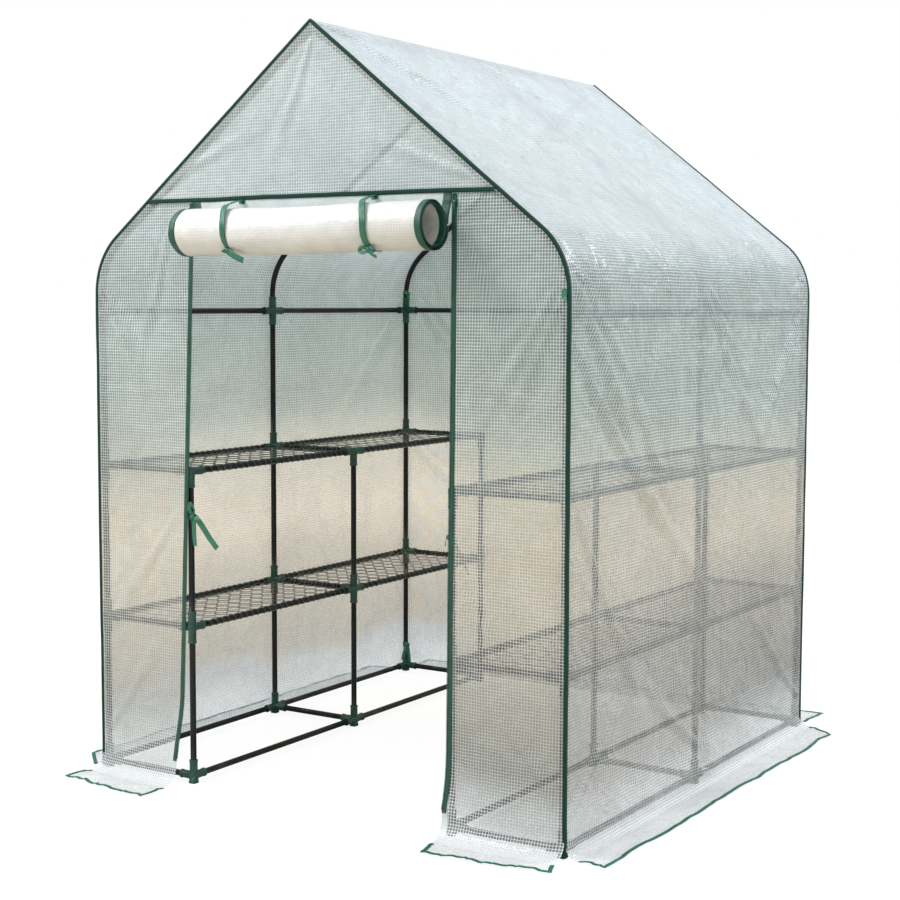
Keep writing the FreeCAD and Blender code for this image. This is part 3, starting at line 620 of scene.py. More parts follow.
# ------------------------------------------------------------------ moulded connectors
def socket(b, c, d, n=24):
    """One arm: tapering barrel, raised lip at the mouth, hollow bore."""
    c, d = np.array(c, float), np.array(d, float)
    d = d / np.linalg.norm(d)
    up = np.array((0.0, 0, 1)) if abs(d[2]) < 0.9 else np.array((1.0, 0, 0))
    s = np.cross(d, up)
    s /= np.linalg.norm(s)
    u = np.cross(s, d)
    prof = [(0.0, 0.0112), (0.006, 0.0112), (0.010, 0.0108), (0.0345, 0.0104), (0.0360, 0.0106), (0.0368, 0.0115),
            (0.0410, 0.0115), (0.0420, 0.0109), (0.0420, 0.0086), (0.0412, 0.00812), (0.0300, 0.00812), (0.0120, 0.00812), (0.0120, 0.0008)]
    a = np.linspace(0, 2 * math.pi, n, endpoint=False)
    ring = np.array([[c + d * L + (np.cos(t) * s + np.sin(t) * u) * r for t in a] for L, r in prof])
    uv = np.array([[(t * 0.0108, L) for t in a] for L, r in prof])
    f = [tuple(reversed(q)) for q in grid_faces(len(prof), n, close_v=True)]
    f.append(tuple(range(n)))
    f.append(tuple(reversed(range((len(prof) - 1) * n, len(prof) * n))))
    b.add(ring.reshape(-1, 3), [tuple(reversed(q)) for q in f], uv.reshape(-1, 2))


def ball(b, c, r, n=20, m=12):
    c = np.array(c, float)
    th = np.linspace(0, math.pi, m)
    ph = np.linspace(0, 2 * math.pi, n, endpoint=False)
    v = [c + (0, 0, r)]
    for t in th[1:-1]:
        for p in ph:
            v.append(c + r * np.array((math.sin(t) * math.cos(p), math.sin(t) * math.sin(p), math.cos(t))))
    v.append(c - (0, 0, r))
    f = []
    for k in range(n):
        f.append((0, 1 + k, 1 + (k + 1) % n))
    for i in range(m - 3):
        for k in range(n):
            a, e = 1 + i * n + k, 1 + i * n + (k + 1) % n
            f.append((a, a + n, e + n, e))
    last = len(v) - 1
    o = 1 + (m - 3) * n
    for k in range(n):
        f.append((last, o + (k + 1) % n, o + k))
    b.add(v, f)


def pad(b, c):
    """Square moulded foot under a base connector, chamfered, with a shallow rim."""
    x, y, z = c
    rows = [(0.0102, 0.0), (0.0110, 0.0008), (0.0110, 0.0040), (0.0102, 0.0060), (0.0098, z)]
    v, f = [], []
    m = 24
    for r, h in rows:
        for k in range(m):
            t = 2 * math.pi * (k + 0.5) / m
            e = 5.0
            ct, st = math.cos(t), math.sin(t)
            q = (abs(ct) ** e + abs(st) ** e) ** (-1 / e)
            v.append((x + r * q * ct, y + r * q * st, h))
    for i in range(len(rows) - 1):
        for k in range(m):
            f.append((i * m + k, i * m + (k + 1) % m, (i + 1) * m + (k + 1) % m, (i + 1) * m + k))
    f.append(tuple(reversed(range(m))))
    f.append(tuple(range((len(rows) - 1) * m, len(rows) * m)))
    b.add(v, f)


def along(y):
    return ([(0, -1, 0)] if y > -HY else []) + ([(0, 1, 0)] if y < HY else [])


def connectors(name, spots, node, feet=False):
    b = Build()
    for c, dirs in spots:
        ball(b, c, 0.0118)
        for d in dirs:
            socket(b, c, d)
        if feet:
            pad(b, c)
    return b.object(name, M_PLASTIC, ROOT, (node,))


UPW, DNW = (0, 0, 1), (0, 0, -1)


def level(z, outer, inner):
    out = []
    for s in (-1, 1):
        for y in YS:
            out.append(((s * HX, y, z), outer + [(-s, 0, 0)] + along(y)))
            out.append(((s * IX, y, z), inner + [(s, 0, 0)] + along(y)))
    return out


connectors("base_fittings", level(Z_BASE, [UPW], [UPW]), "foot_connectors", feet=True)
connectors("lower_shelf_fittings", level(Z_LOW, [UPW, DNW], [UPW, DNW]), "lower_shelf_connectors")
connectors("upper_shelf_fittings", level(Z_UP, [UPW, DNW], [DNW]), "upper_shelf_connectors")
connectors("eave_fittings", [((s * HX, y, Z_EAVE), [UPW, DNW] + along(y) + ([(-s, 0, 0)] if y == HY else []))
                             for s in (-1, 1) for y in YS], "eave_connectors")
FALL = (math.cos(SLOPE), math.sin(SLOPE))
connectors("ridge_fittings", [((0, y, Z_APEX), [(FALL[0], 0, -FALL[1]), (-FALL[0], 0, -FALL[1])] + along(y)) for y in YS], "ridge_connectors")


# ------------------------------------------------------------------ wire-mesh shelves
WR = 0.00092


def shelf(name, node, s, ya, yb, z, seed):
    b = Build()
    x0, x1 = IX + 0.0107, HX - 0.0107
    n = 15
    lead = 0.004 if ya < -0.1 else -0.004
    for i in range(n):
        xc = x0 + (x1 - x0) * i / (n - 1)
        bore = 0.0128 if (xc < IX + 0.046 or xc > HX - 0.046) else 0.0091
        y = np.linspace(ya + 0.014, yb - 0.014, 190)
        ph = (y - ya) / 0.050 * 2 * math.pi + i * math.pi
        sn = np.sin(ph)
        lim = (x1 - x0) / (n - 1) / 2
        wav = np.clip(1.32 * sn, -1, 1) * (lim - 0.0002)
        wav = np.clip(wav, x0 - xc, x1 - xc) if i in (0, n - 1) else wav
        zz = z + 0.0010 * np.cos(ph * 1.0) * (1 if i % 2 else -1) + 0.0008 * vnoise(y * 6, 0 * y + i, seed)
        ends = np.minimum(y - ya, yb - y)
        lift = 1 - smooth(0.016, 0.030, ends)
        zz = zz * (1 - lift) + (z + 0.0) * lift
        mid = np.stack([xc + wav * (1 - 0.6 * lift), y, zz], 1)
        pts = []
        for sgn, yc, first in ((-1, ya, True), (1, yb, False)):
            a = np.linspace(0, math.pi * 0.93, 9) if first else np.linspace(0, math.pi * 0.93, 9)
            hook = np.stack([np.full(9, xc + (mid[0, 0] - xc if first else mid[-1, 0] - xc) + (0.003 if yc == 0 and not first else 0.0)),
                             yc - sgn * bore * np.cos(a), z + bore * np.sin(a)], 1)
            pts.append(hook[::-1] if first else hook)
        p = np.concatenate([pts[0], mid, pts[1]])
        p[:, 0] *= s
        tube(b, p, WR, 6, up=(0, 0, 1))
    for xr in (IX, HX):
        turns = (yb - ya - 0.094) / 0.025
        m = int(turns * 14)
        t = np.linspace(0, 1, m)
        a = 2 * math.pi * turns * t + seed
        rr = 0.0092
        jit = 0.0020 * vnoise(t * turns * 0.7, 0 * t, seed + 3)
        p = np.stack([s * (xr + rr * np.cos(a)), ya + 0.047 + (yb - ya - 0.094) * t + jit, z + rr * np.sin(a)], 1)
        tube(b, p, WR, 6, up=(0, 1, 0.02))
    return b.object(name, M_WIRE, ROOT, (node,))


for li, (lname, z) in enumerate((("lower", Z_LOW), ("upper", Z_UP))):
    for si, (sname, s) in enumerate((("left", -1), ("right", 1))):
        for bi, (bname, ya, yb) in enumerate((("front", -HY, 0.0), ("back", 0.0, HY))):
            shelf("wires_%s_%s_%s" % (lname, sname, bname), "shelf_mesh_%s_%s_%s" % (lname, sname, bname), s, ya, yb, z, 5 + li * 4 + si * 2 + bi)


# ------------------------------------------------------------------ cover: how the sheet hangs
STEP = 0.0070


def gauss(d, w):
    return np.exp(-(d / w) ** 2)


def relief(u, v, seed, pack=(0.36, 0.42), amp=1.0):
    """Height of the sheet's own creases in metres, + outward: broad billow, diagonal wrinkles, packing folds, crumple."""
    billow = 0.0075 * fbm(u * 2.1 + 3.3, v * 1.7, seed, 2)
    wu, wv = u + 0.05 * fbm(u * 3, v * 3, seed + 5, 2), v + 0.05 * fbm(u * 3 + 9, v * 3 + 4, seed + 6, 2)
    broad = 0.0042 * ridged(wu * 5.2 + wv * 2.0, wv * 3.4 - wu * 1.5, seed + 1, 3)
    crum = 0.0019 * ridged(wu * 17, wv * 15, seed + 2, 3)
    tiny = 0.00070 * ridged(wu * 47, wv * 43, seed + 3, 2)
    fold = 0.0
    for k in range(-8, 9):
        if pack[0]:
            d = u - k * pack[0] - 0.13 + 0.004 * vnoise(v * 4, 0 * v + k, seed + 7)
            fold = fold + 0.0026 * np.exp(-np.abs(d) / 0.007) * (1 if k % 2 else -1)
        if pack[1]:
            d = v - k * pack[1] - 0.19 + 0.004 * vnoise(u * 4, 0 * u + k, seed + 8)
            fold = fold + 0.0026 * np.exp(-np.abs(d) / 0.007) * (-1 if k % 2 else 1)
    return amp * 1.35 * (billow + broad + crum + tiny + fold)


def held(d, mask, low=-0.0028, high=0.004):
    """Where the mask is 1 the sheet lies on a tube, so it can't go inward past it."""
    return d * (1 - mask) + np.clip(d * 0.45, low, high) * mask


def plateau(a, half, soft=0.016):
    return 1 - smooth(half, half + soft, np.abs(a))


def over_fittings(d, U, V, us, vs):
    """The sheet passes outside every connector: round each crossing of a tube at u and one at v, and along its arms."""
    m = np.zeros_like(U)
    for a in us:
        for c in vs:
            m = np.maximum(m, plateau(U - a, 0.056) * plateau(V - c, 0.020))
            m = np.maximum(m, plateau(U - a, 0.020) * plateau(V - c, 0.056))
    return d * (1 - m) + np.maximum(d, -0.0002) * m


def arch_x(z, off=SEAM):
    """Half-width of the arch outline at offset off, by height."""
    z = np.asarray(z, float)
    r = BEND_R + off
    on_arc = CX + np.sqrt(np.maximum(r * r - np.clip(z - CZ, 0, r) ** 2, 0))
    roof = (Z_APEX + off / math.cos(SLOPE) - z) / math.tan(SLOPE)
    ze = CZ + r * math.sin(TURN)
    return np.where(z <= CZ, HX + off, np.where(z < ze, on_arc, roof))


def quarter(r, n):
    """Points of a quarter turn (distance out, height) from the wall down to the ground, and its length."""
    t = np.linspace(0, math.pi / 2, n)
    return r - r * np.cos(t), r - r * np.sin(t), r * t


FLAPS = {
    "front_left": [(-0.7145, -0.782), (-0.440, -0.782), (-0.424, -0.905), (-0.727, -0.868)],
    "front_right": [(0.429, -0.782), (0.7145, -0.782), (0.738, -0.840), (0.420, -0.885)],
    "right": [(0.7495, -0.7328), (0.7495, 0.7328), (0.840, 0.668), (0.826, -0.741)],
    "left": [(-0.7495, -0.7328), (-0.7495, 0.7328), (-0.840, 0.690), (-0.826, -0.668)],
    "back": [(-0.7145, 0.782), (0.7145, 0.782), (0.728, 0.905), (-0.728, 0.905)],
}
HEMS = {}


def flap_rows(name, P_fold, a_first, rows, seed):
    """Ground flap between its outer edge and the fold line, as rows from the outer edge in. P_fold is the fold line, already placed."""
    q = FLAPS[name]
    near0, near1, far1, far0 = [np.array(p) for p in q]
    n = len(P_fold)
    t = np.linspace(0, 1, n)
    if not a_first:
        near0, near1, far0, far1 = near1, near0, far1, far0
    outer = far0[None, :] * (1 - t[:, None]) + far1[None, :] * t[:, None]
    L = 1.2
    wob = 0.006 * vnoise(t * 7 * L, 0 * t + 0.2, seed) + 0.003 * vnoise(t * 23 * L, 0 * t + 1.2, seed + 1)
    normal = np.array((-(far1 - far0)[1], (far1 - far0)[0]))
    normal = normal / np.linalg.norm(normal)
    if np.dot(normal, (far0 + far1) / 2 - (near0 + near1) / 2) < 0:
        normal = -normal
    outer = outer + normal[None, :] * (wob * smooth(0, 0.05, t) * (1 - smooth(0.95, 1, t)) - 0.004)[:, None]
    R = []
    for k in range(rows):
        s = k / rows                          # 0 at the outer edge
        xy = outer * (1 - s) + P_fold[:, :2] * s
        lift = (0.0016 + 0.0045 * (0.5 + 0.5 * vnoise(t * 8.5, 0 * t + s * 1.7, seed + 2)) * (0.35 + 0.65 * (1 - s))
                + 0.0030 * np.maximum(0, ridged(t * 11 + s * 2, 0 * t + s * 3.0, seed + 4, 2)))
        lift = lift * (1 - smooth(0.80, 1.0, s * np.ones(n))) + P_fold[:, 2] * smooth(0.80, 1.0, s * np.ones(n))
        R.append(np.concatenate([xy, lift[:, None]], 1))
    return R


def side_cover(s, name, nodes, flap, seed):
    ny = int(1.4648 / STEP) + 1
    y = np.linspace(YFS, YBS, ny)
    X0 = HX + SEAM
    r = 0.035
    # profile below: turn at the ground
    qo, qh, ql = quarter(r, 9)
    wall_z = np.arange(r, CZ, STEP)
    wall_z = np.append(wall_z[:-1] if CZ - wall_z[-1] < STEP * 0.4 else wall_z, CZ)
    arc_t = np.linspace(0, TURN, max(12, int((BEND_R + SEAM) * TURN / STEP)))[1:]
    roof_len = (Z_APEX + SEAM / math.cos(SLOPE) - (CZ + (BEND_R + SEAM) * math.sin(TURN))) / math.sin(SLOPE)
    roof_s = np.linspace(0, roof_len, int(roof_len / STEP) + 1)[1:]
    px = [X0 + o for o in qo[::-1][:-1]] + [X0] * len(wall_z)
    pz = [h + 0.0006 for h in qh[::-1][:-1]] + list(wall_z)
    nx_ = [math.sin(a) for a in np.linspace(0, math.pi / 2, 9)][:-1] + [1.0] * len(wall_z)
    nz_ = [math.cos(a) for a in np.linspace(0, math.pi / 2, 9)][:-1] + [0.0] * len(wall_z)
    for t in arc_t:
        px.append(CX + (BEND_R + SEAM) * math.cos(t))
        pz.append(CZ + (BEND_R + SEAM) * math.sin(t))
        nx_.append(math.cos(t))
        nz_.append(math.sin(t))
    bx, bz = px[-1], pz[-1]
    for q in roof_s:
        px.append(bx - q * math.cos(SLOPE))
        pz.append(bz + q * math.sin(SLOPE))
        nx_.append(math.sin(SLOPE))
        nz_.append(math.cos(SLOPE))
    prof = np.array([px, pz]).T
    ln = lengths(prof)
    v_wall0 = ln[8]
    v = ln
    U, Vv = np.meshgrid(y, v)
    zz = np.broadcast_to(prof[:, 1][:, None], U.shape)
    d = relief(U, Vv + 0.4 * s, seed)
    # long tension folds fanning down and back from the front eave corner, and from the middle and back arches
    v_eave = ln[np.searchsorted(prof[:, 1], Z_EAVE)]
    v_bend = v_wall0 + (CZ - r)
    f = folds(U, Vv, (YFS, v_bend + 0.06), (-0.05, v_bend - 0.62), 0.030, 0.0085, 2, seed + 11, 0.10)
    f = f + folds(U, Vv, (YFS, v_bend - 0.10), (0.18, v_bend - 0.98), 0.026, 0.0065, 1, seed + 12, -0.05)
    f = f + folds(U, Vv, (YFS, v_bend - 0.42), (-0.22, v_bend - 1.18), 0.022, 0.0050, 1, seed + 13, 0.05)
    f = f + folds(U, Vv, (0.0, v_bend + 0.02), (0.52, v_bend - 0.55), 0.026, 0.0065, 2, seed + 14, -0.08)
    f = f + folds(U, Vv, (YBS, v_bend + 0.02), (0.30, v_bend - 0.50), 0.024, 0.0060, 1, seed + 15, 0.05)
    f = f + folds(U, Vv, (0.0, v_wall0 + 0.06), (-0.55, v_wall0 + 0.42), 0.022, 0.0050, 1, seed + 16, 0.05)
    f = f + folds(U, Vv, (YBS, v_wall0 + 0.05), (0.20, v_wall0 + 0.48), 0.022, 0.0050, 1, seed + 17, -0.05)
    f = f + folds(U, Vv, (YFS, v_wall0 + 0.05), (-0.30, v_wall0 + 0.40), 0.020, 0.0045, 1, seed + 18, 0.05)
    f = f + folds(U, Vv, (YFS, v[-1] - 0.02), (-0.10, v[-1] - 0.50), 0.024, 0.0055, 1, seed + 19, 0.05)
    f = f + folds(U, Vv, (0.0, v[-1] - 0.01), (0.45, v[-1] - 0.42), 0.022, 0.0050, 1, seed + 20, -0.05)
    d = d + f
    # slack: the roof sheet sits down a little between the arches, the wall bellies in between posts and rails
    bay = 1 - np.minimum(1, np.abs(np.abs(U) - HY / 2) / (HY / 2)) ** 2
    roofm = smooth(v_bend + 0.19, v_bend + 0.34, Vv)
    d = d - 0.010 * bay * roofm * np.sin(np.pi * np.clip((Vv - v_bend - 0.15) / (v[-1] - v_bend - 0.15), 0, 1)) ** 0.7
    wallm = 1 - smooth(v_bend - 0.05, v_bend + 0.10, Vv)
    d = d - 0.0035 * bay * wallm
    # the lower edge of the wall leans out to its flap
    low = 1 - smooth(v_wall0, v_wall0 + 0.22, Vv)
    corner = smooth(0.0, 0.30, HY + GAP - np.abs(U))
    foot = 1 - smooth(v_wall0 - 0.01, v_wall0 + 0.17, Vv)
    d = d + 0.0040 * low * (0.5 + 0.5 * vnoise(U * 4, 0 * U, seed + 30)) + 0.017 * foot * foot * corner * (0.8 + 0.3 * vnoise(U * 3, 0 * U, seed + 31))
    mask = np.maximum(np.maximum(gauss(U, 0.020), gauss(np.abs(U) - HY, 0.022)) * smooth(0.02, 0.05, Vv - v_wall0 + 0.03), 0)
    for zr in (Z_BASE, Z_LOW, Z_UP, Z_EAVE):
        mask = np.maximum(mask, gauss(Vv - (v_wall0 + zr - r), 0.018) * (zr > 0.1))
    mask = np.maximum(mask, gauss(Vv - v[-1], 0.020))
    d = held(d, np.clip(mask, 0, 1))
    d = over_fittings(d, U, Vv, (-HY, 0.0, HY), [v_wall0 + zr - r for zr in (Z_BASE, Z_LOW, Z_UP)] + [v_eave, v[-1], v_wall0 + 1.29 - r])
    edge = smooth(0.0, 0.035, HY + GAP - np.abs(U))
    d = d * edge
    # the sheet marks where it runs over the middle rafter and the eave rail
    nxA, nzA = np.array(nx_)[:, None], np.array(nz_)[:, None]
    top = smooth(0.0, 0.02, v[-1] - Vv)
    d = np.where(Vv < v_wall0, np.maximum(d, -0.0002) * smooth(0, v_wall0, Vv), d) * top
    P = np.stack([s * (prof[:, 0][:, None] + nxA * d), U + 0 * d, prof[:, 1][:, None] + nzA * d], -1)
    rows = 9
    R = flap_rows(flap, P[0], True, rows, seed + 40)
    far = np.array(R)
    P = np.concatenate([far, P], 0)
    step_v = np.linalg.norm(far[0, ny // 2] - P[rows, ny // 2]) / rows
    v_all = np.concatenate([-step_v * np.arange(rows, 0, -1), v])
    UV = np.stack(np.broadcast_arrays(P[..., 1] * 0 + y[None, :], v_all[:, None]), -1)
    if s < 0:
        P, UV = P[:, ::-1], UV[:, ::-1]
    ob = sheet_object(name, P, UV, M_SIDE_R if s > 0 else M_SIDE_L, nodes)
    Pn = P if s > 0 else P[:, ::-1]
    HEMS[flap] = np.concatenate([Pn[rows:0:-1, 0], Pn[0, :], Pn[1:rows + 1, -1]])
    return ob, float(v_all[-1] - v_all[0])


right_cover, LEN_SIDE = side_cover(1, "cover_right", ("cover_side_right", "skirt_right"), "right", 101)
left_cover, _ = side_cover(-1, "cover_left", ("cover_side_left", "skirt_left"), "left", 211)


def end_panel(name, nodes, flap, xa, xb, z_top, yface, out, seed, r=0.050, foldset=(), mat=None, mask_fn=None, slotname="cover_sheet", flare=None, hold=(True, True), top_free=False):
    """Front or back panel: columns between xa(z) and xb(z), rows from the ground flap to z_top. out is -1 front, +1 back."""
    zr = np.arange(r, z_top, STEP)
    zr = np.append(zr[:-1] if z_top - zr[-1] < STEP * 0.4 else zr, z_top)
    w = abs(float(xb(0.6)) - float(xa(0.6)))
    nx = max(8, int(w / STEP) + 1)
    t = np.linspace(0, 1, nx)
    XA, XB = xa(zr), xb(zr)
    X = XA[:, None] * (1 - t) + XB[:, None] * t
    Z = np.broadcast_to(zr[:, None], X.shape)
    d = relief(X, Z, seed, amp=0.62 if (not hold[0] or not hold[1]) else 1.0)
    for k, (p0, p1, wd, h, wv, lean) in enumerate(foldset):
        d = d + folds(X, Z, p0, p1, wd, h * (0.6 if (not hold[0] or not hold[1]) else 1.0), wv, seed + 50 + k, lean)
    mask = np.clip(mask_fn(X, Z), 0, 1)
    d = held(d, mask)
    d = over_fittings(d, X, Z, (-HX, -IX, IX, HX), (Z_BASE, Z_LOW, Z_UP, Z_EAVE))
    m = plateau(np.abs(X) - arch_x(Z, 0.0), 0.022) * (plateau(Z - Z_EAVE, 0.075) + plateau(Z - Z_APEX, 0.080))
    d = d * (1 - m) + np.maximum(d, -0.0002) * m
    e0 = smooth(0, 0.03, X - XA[:, None]) if hold[0] else 1.0
    e1 = smooth(0, 0.03, XB[:, None] - X) if hold[1] else 1.0
    top = 1.0 if top_free else smooth(0, 0.03, z_top - Z)
    d = d * e0 * e1 * top
    Y = yface + out * d
    if flare is not None:
        Y = Y + out * flare(t[None, :], Z)
    if flap:
        foot = 1 - smooth(r - 0.01, r + 0.17, Z)
        Y = Y + out * 0.016 * foot * foot * smooth(0, 0.22 if not (hold[0] and hold[1]) else 0.30, (X - XA[:, None]) if hold[0] else (X - XA[:, None] + 1)) * smooth(0, 0.22 if not (hold[0] and hold[1]) else 0.30, (XB[:, None] - X) if hold[1] else (XB[:, None] - X + 1))
    for free, dist in ((not hold[0], X - XA[:, None]), (not hold[1], XB[:, None] - X)):
        if free:
            k = np.maximum(smooth(0.0, 0.075, dist), 1 - smooth(0.10, 0.24, Z) if flap else 0)
            near = 0.0016 * vnoise(Z * 3.1, 0 * Z + 2.0, seed + 90)
            Y = yface + (Y - yface) * k + out * near * (1 - k)
    P = np.stack([X, Y, Z], -1)
    if not flap:
        UV = np.stack([X, Z], -1)
        return P, UV, 0
    qo, qh, ql = quarter(r, 9)
    rows = []
    for k in range(8, 0, -1):
        ang = math.pi / 2 * k / 8
        Yk = P[0, :, 1] + out * (qo[k]) + 0
        x = P[0, :, 0]
        rows.append(np.stack([x, Yk, np.full(nx, qh[k] + 0.0006)], 1))
    T = np.array(rows)
    F = np.array(flap_rows(flap, T[0], True, 10, seed + 60))
    P = np.concatenate([F, T, P], 0)
    step_v = np.mean(np.linalg.norm(F[0] - T[0], axis=1)) / len(F)
    v0 = r - r * math.pi / 2
    v_all = np.concatenate([v0 - step_v * np.arange(len(F), 0, -1), v0 + r * math.pi / 2 * (np.arange(8) / 8.0), zr])
    uX = np.concatenate([np.broadcast_to(X[0], (len(F) + 8, nx)), X], 0)
    UV = np.stack([uX, np.broadcast_to(v_all[:, None], uX.shape)], -1)
    HEMS[flap] = np.concatenate([P[len(F):0:-1, 0], P[0, :], P[1:len(F) + 1, -1]])
    return P, UV, float(v_all[-1] - v_all[0])


def frame_mask(xs, zs, inner_top=0.824, outer_zs=()):
    def fn(X, Z):
        m = np.zeros_like(X)
        for x in xs:
            top = (Z < inner_top) if abs(abs(x) - IX) < 1e-6 else (Z < 1.30)
            m = np.maximum(m, gauss(X - x, 0.018) * top)
        for z in zs:
            m = np.maximum(m, gauss(Z - z, 0.016))
        for z in outer_zs:
            m = np.maximum(m, gauss(Z - z, 0.016) * (np.abs(X) > 0.385))
        rx = arch_x(Z, 0.0)
        m = np.maximum(m, gauss(np.abs(X) - rx, 0.020) * (Z > 1.25))
        return m
    return fn


PL, UL, LEN_FL = end_panel("left", None, "front_left", lambda z: -arch_x(z), lambda z: np.asarray(x_left(np.asarray(z))), Z_HEADER, YFS, -1, 307,
                      foldset=[((-0.70, 1.32), (-0.46, 0.95), 0.020, 0.0060, 2, 0.05), ((-0.44, 1.45), (-0.60, 1.02), 0.018, 0.0050, 1, -0.05),
                               ((-0.43, 0.72), (-0.66, 0.40), 0.018, 0.0050, 1, 0.05), ((-0.70, 0.10), (-0.48, 0.42), 0.018, 0.0045, 1, 0.05)],
                      mask_fn=frame_mask((-HX, -IX), (Z_BASE, Z_LOW, Z_UP)), hold=(True, False),
                      flare=lambda t, Z: 0.006 * t ** 3 * (0.4 + 0.6 * np.sin(Z * 5.2 + 0.8)) * smooth(0, 0.18, Z_HEADER - Z))
sheet_l = sheet_object("cover_front_l", PL, UL, M_FRONT_L, ("cover_front_left", "skirt_front_left"))
PR, UR, LEN_FR = end_panel("right", None, "front_right", lambda z: np.asarray(x_right(np.asarray(z))), lambda z: arch_x(z), Z_HEADER, YFS, -1, 409,
                      foldset=[((0.70, 1.30), (0.47, 0.92), 0.020, 0.0060, 2, -0.05), ((0.41, 1.47), (0.60, 1.08), 0.018, 0.0060, 1, 0.05),
                               ((0.42, 0.60), (0.66, 0.30), 0.018, 0.0045, 1, 0.05), ((0.70, 0.10), (0.50, 0.40), 0.018, 0.0045, 1, -0.05)],
                      mask_fn=frame_mask((HX, IX), (Z_BASE, Z_LOW, Z_UP)), hold=(False, True),
                      flare=lambda t, Z: 0.006 * (1 - t) ** 3 * (0.4 + 0.6 * np.sin(Z * 4.6 + 2.0)) * smooth(0, 0.18, Z_HEADER - Z))
sheet_r = sheet_object("cover_front_r", PR, UR, M_FRONT_R, ("cover_front_right", "skirt_front_right"))
Z_TIP = Z_APEX + SEAM / math.cos(SLOPE)
PB, UB, LEN_B = end_panel("back", None, "back", lambda z: -arch_x(z), lambda z: arch_x(z), Z_TIP - 0.003, YBS, 1, 503,
                     foldset=[((-0.70, 1.32), (-0.15, 0.80), 0.026, 0.0070, 2, 0.08), ((0.70, 1.32), (0.10, 0.85), 0.026, 0.0070, 2, -0.08),
                              ((0.0, 1.90), (0.15, 1.30), 0.022, 0.0050, 1, 0.05), ((0.70, 0.10), (0.20, 0.48), 0.022, 0.0050, 1, 0.05),
                              ((-0.70, 0.10), (-0.15, 0.52), 0.022, 0.0050, 1, -0.05), ((-0.70, 0.80), (-0.20, 0.45), 0.022, 0.0050, 1, 0.05)],
                     mask_fn=frame_mask((HX, IX, -IX, -HX), (Z_EAVE,), outer_zs=(Z_BASE, Z_LOW, Z_UP)))
sheet_b = sheet_object("cover_rear", PB[:, ::-1], UB[:, ::-1], M_REAR, ("cover_back", "skirt_back"))


def gable():
    z0, z1 = Z_HEADER, Z_TIP - 0.003
    zr = np.linspace(z0, z1, int((z1 - z0) / STEP) + 1)
    hw = arch_x(zr)
    nx = int(2 * hw[0] / STEP) + 1
    t = np.linspace(-1, 1, nx)
    X = hw[:, None] * t
    Z = np.broadcast_to(zr[:, None], X.shape)
    d = relief(X, Z, 601, amp=0.45)
    d = d + folds(X, Z, (0.0, 1.90), (-0.12, 1.56), 0.016, 0.0022, 1, 650, 0.05)
    d = d + folds(X, Z, (0.50, 1.53), (0.12, 1.68), 0.016, 0.0022, 1, 651, -0.05)
    d = d + folds(X, Z, (-0.50, 1.53), (-0.15, 1.72), 0.016, 0.0022, 1, 652, 0.05)
    m = gauss(np.abs(X) - arch_x(Z, 0.0), 0.02)
    d = held(d, m) * smooth(0, 0.03, hw[:, None] - np.abs(X)) * smooth(0, 0.03, Z - z0)
    P = np.stack([X, YFS - d, Z], -1)
    return sheet_object("cover_gable", P, np.stack([X, Z], -1), M_GABLE, ("cover_front_gable",))


sheet_g = gable()


# ------------------------------------------------------------------ sewn bindings
def arch_line(z0, off, step=0.012):
    r = BEND_R + off
    z = np.arange(z0, CZ, step)
    p = [(HX + off, q) for q in z]
    p += [(CX + r * math.cos(t), CZ + r * math.sin(t)) for t in np.linspace(0, TURN, 22)]
    bx, bz = p[-1]
    L = (Z_APEX + off / math.cos(SLOPE) - bz) / math.sin(SLOPE)
    p += [(bx - q * math.cos(SLOPE), bz + q * math.sin(SLOPE)) for q in np.linspace(0, L, int(L / step) + 1)[1:]]
    p = np.array(p)
    left = p[::-1][1:].copy()
    left[:, 0] *= -1
    return np.concatenate([p, left])


def arch_binding(name, node, yface, out):
    p2 = arch_line(0.004, GAP + SKIN)
    t = np.gradient(p2, axis=0)
    t /= np.linalg.norm(t, axis=1)[:, None]
    nrm = np.stack([t[:, 1], 0 * t[:, 0], -t[:, 0]], 1)         # outward in the arch plane
    k = len(p2) // 2
    nrm[k] = (0, 0, 1)
    ln = lengths(p2)
    sway = 0.0007 * vnoise(ln * 9, 0 * ln, 77)
    P = np.stack([p2[:, 0], np.full(len(p2), yface), p2[:, 1]], 1) + nrm * sway[:, None]
    prof = [(-0.0066, 0.0001), (-0.0066, 0.0010), (-0.0060, 0.0013), (-0.0030, 0.0014), (0.0002, 0.0016), (0.0013, 0.0013), (0.0016, 0.0003),
            (0.0014, -0.0030), (0.0013, -0.0068), (0.0009, -0.0074), (0.0001, -0.0074), (0.0001, 0.0001)]
    if out > 0:
        prof = prof[::-1]
    b = Build()
    swept(b, P, nrm, np.array((0.0, out, 0.0)), prof)
    return b.object(name, M_BIND, ROOT, (node,))


arch_binding("binding_front", "front_arch_binding", YF - SKIN, -1)
arch_binding("binding_back", "back_arch_binding", YB + SKIN, 1)

b = Build()
hx = float(arch_x(Z_HEADER, 0.006))
xs = np.linspace(-hx, hx, 160)
sag = 0.0012 * vnoise(xs * 6, 0 * xs, 88)
strip(b, np.stack([xs, np.full(160, YF - SKIN - 0.0052), Z_HEADER + sag], 1), (0, 0, 1.0), (0, -1.0, 0), 0.0105, 0.0016, 0.0005, 5)
b.object("binding_header", M_BIND, ROOT, ("header_binding",))

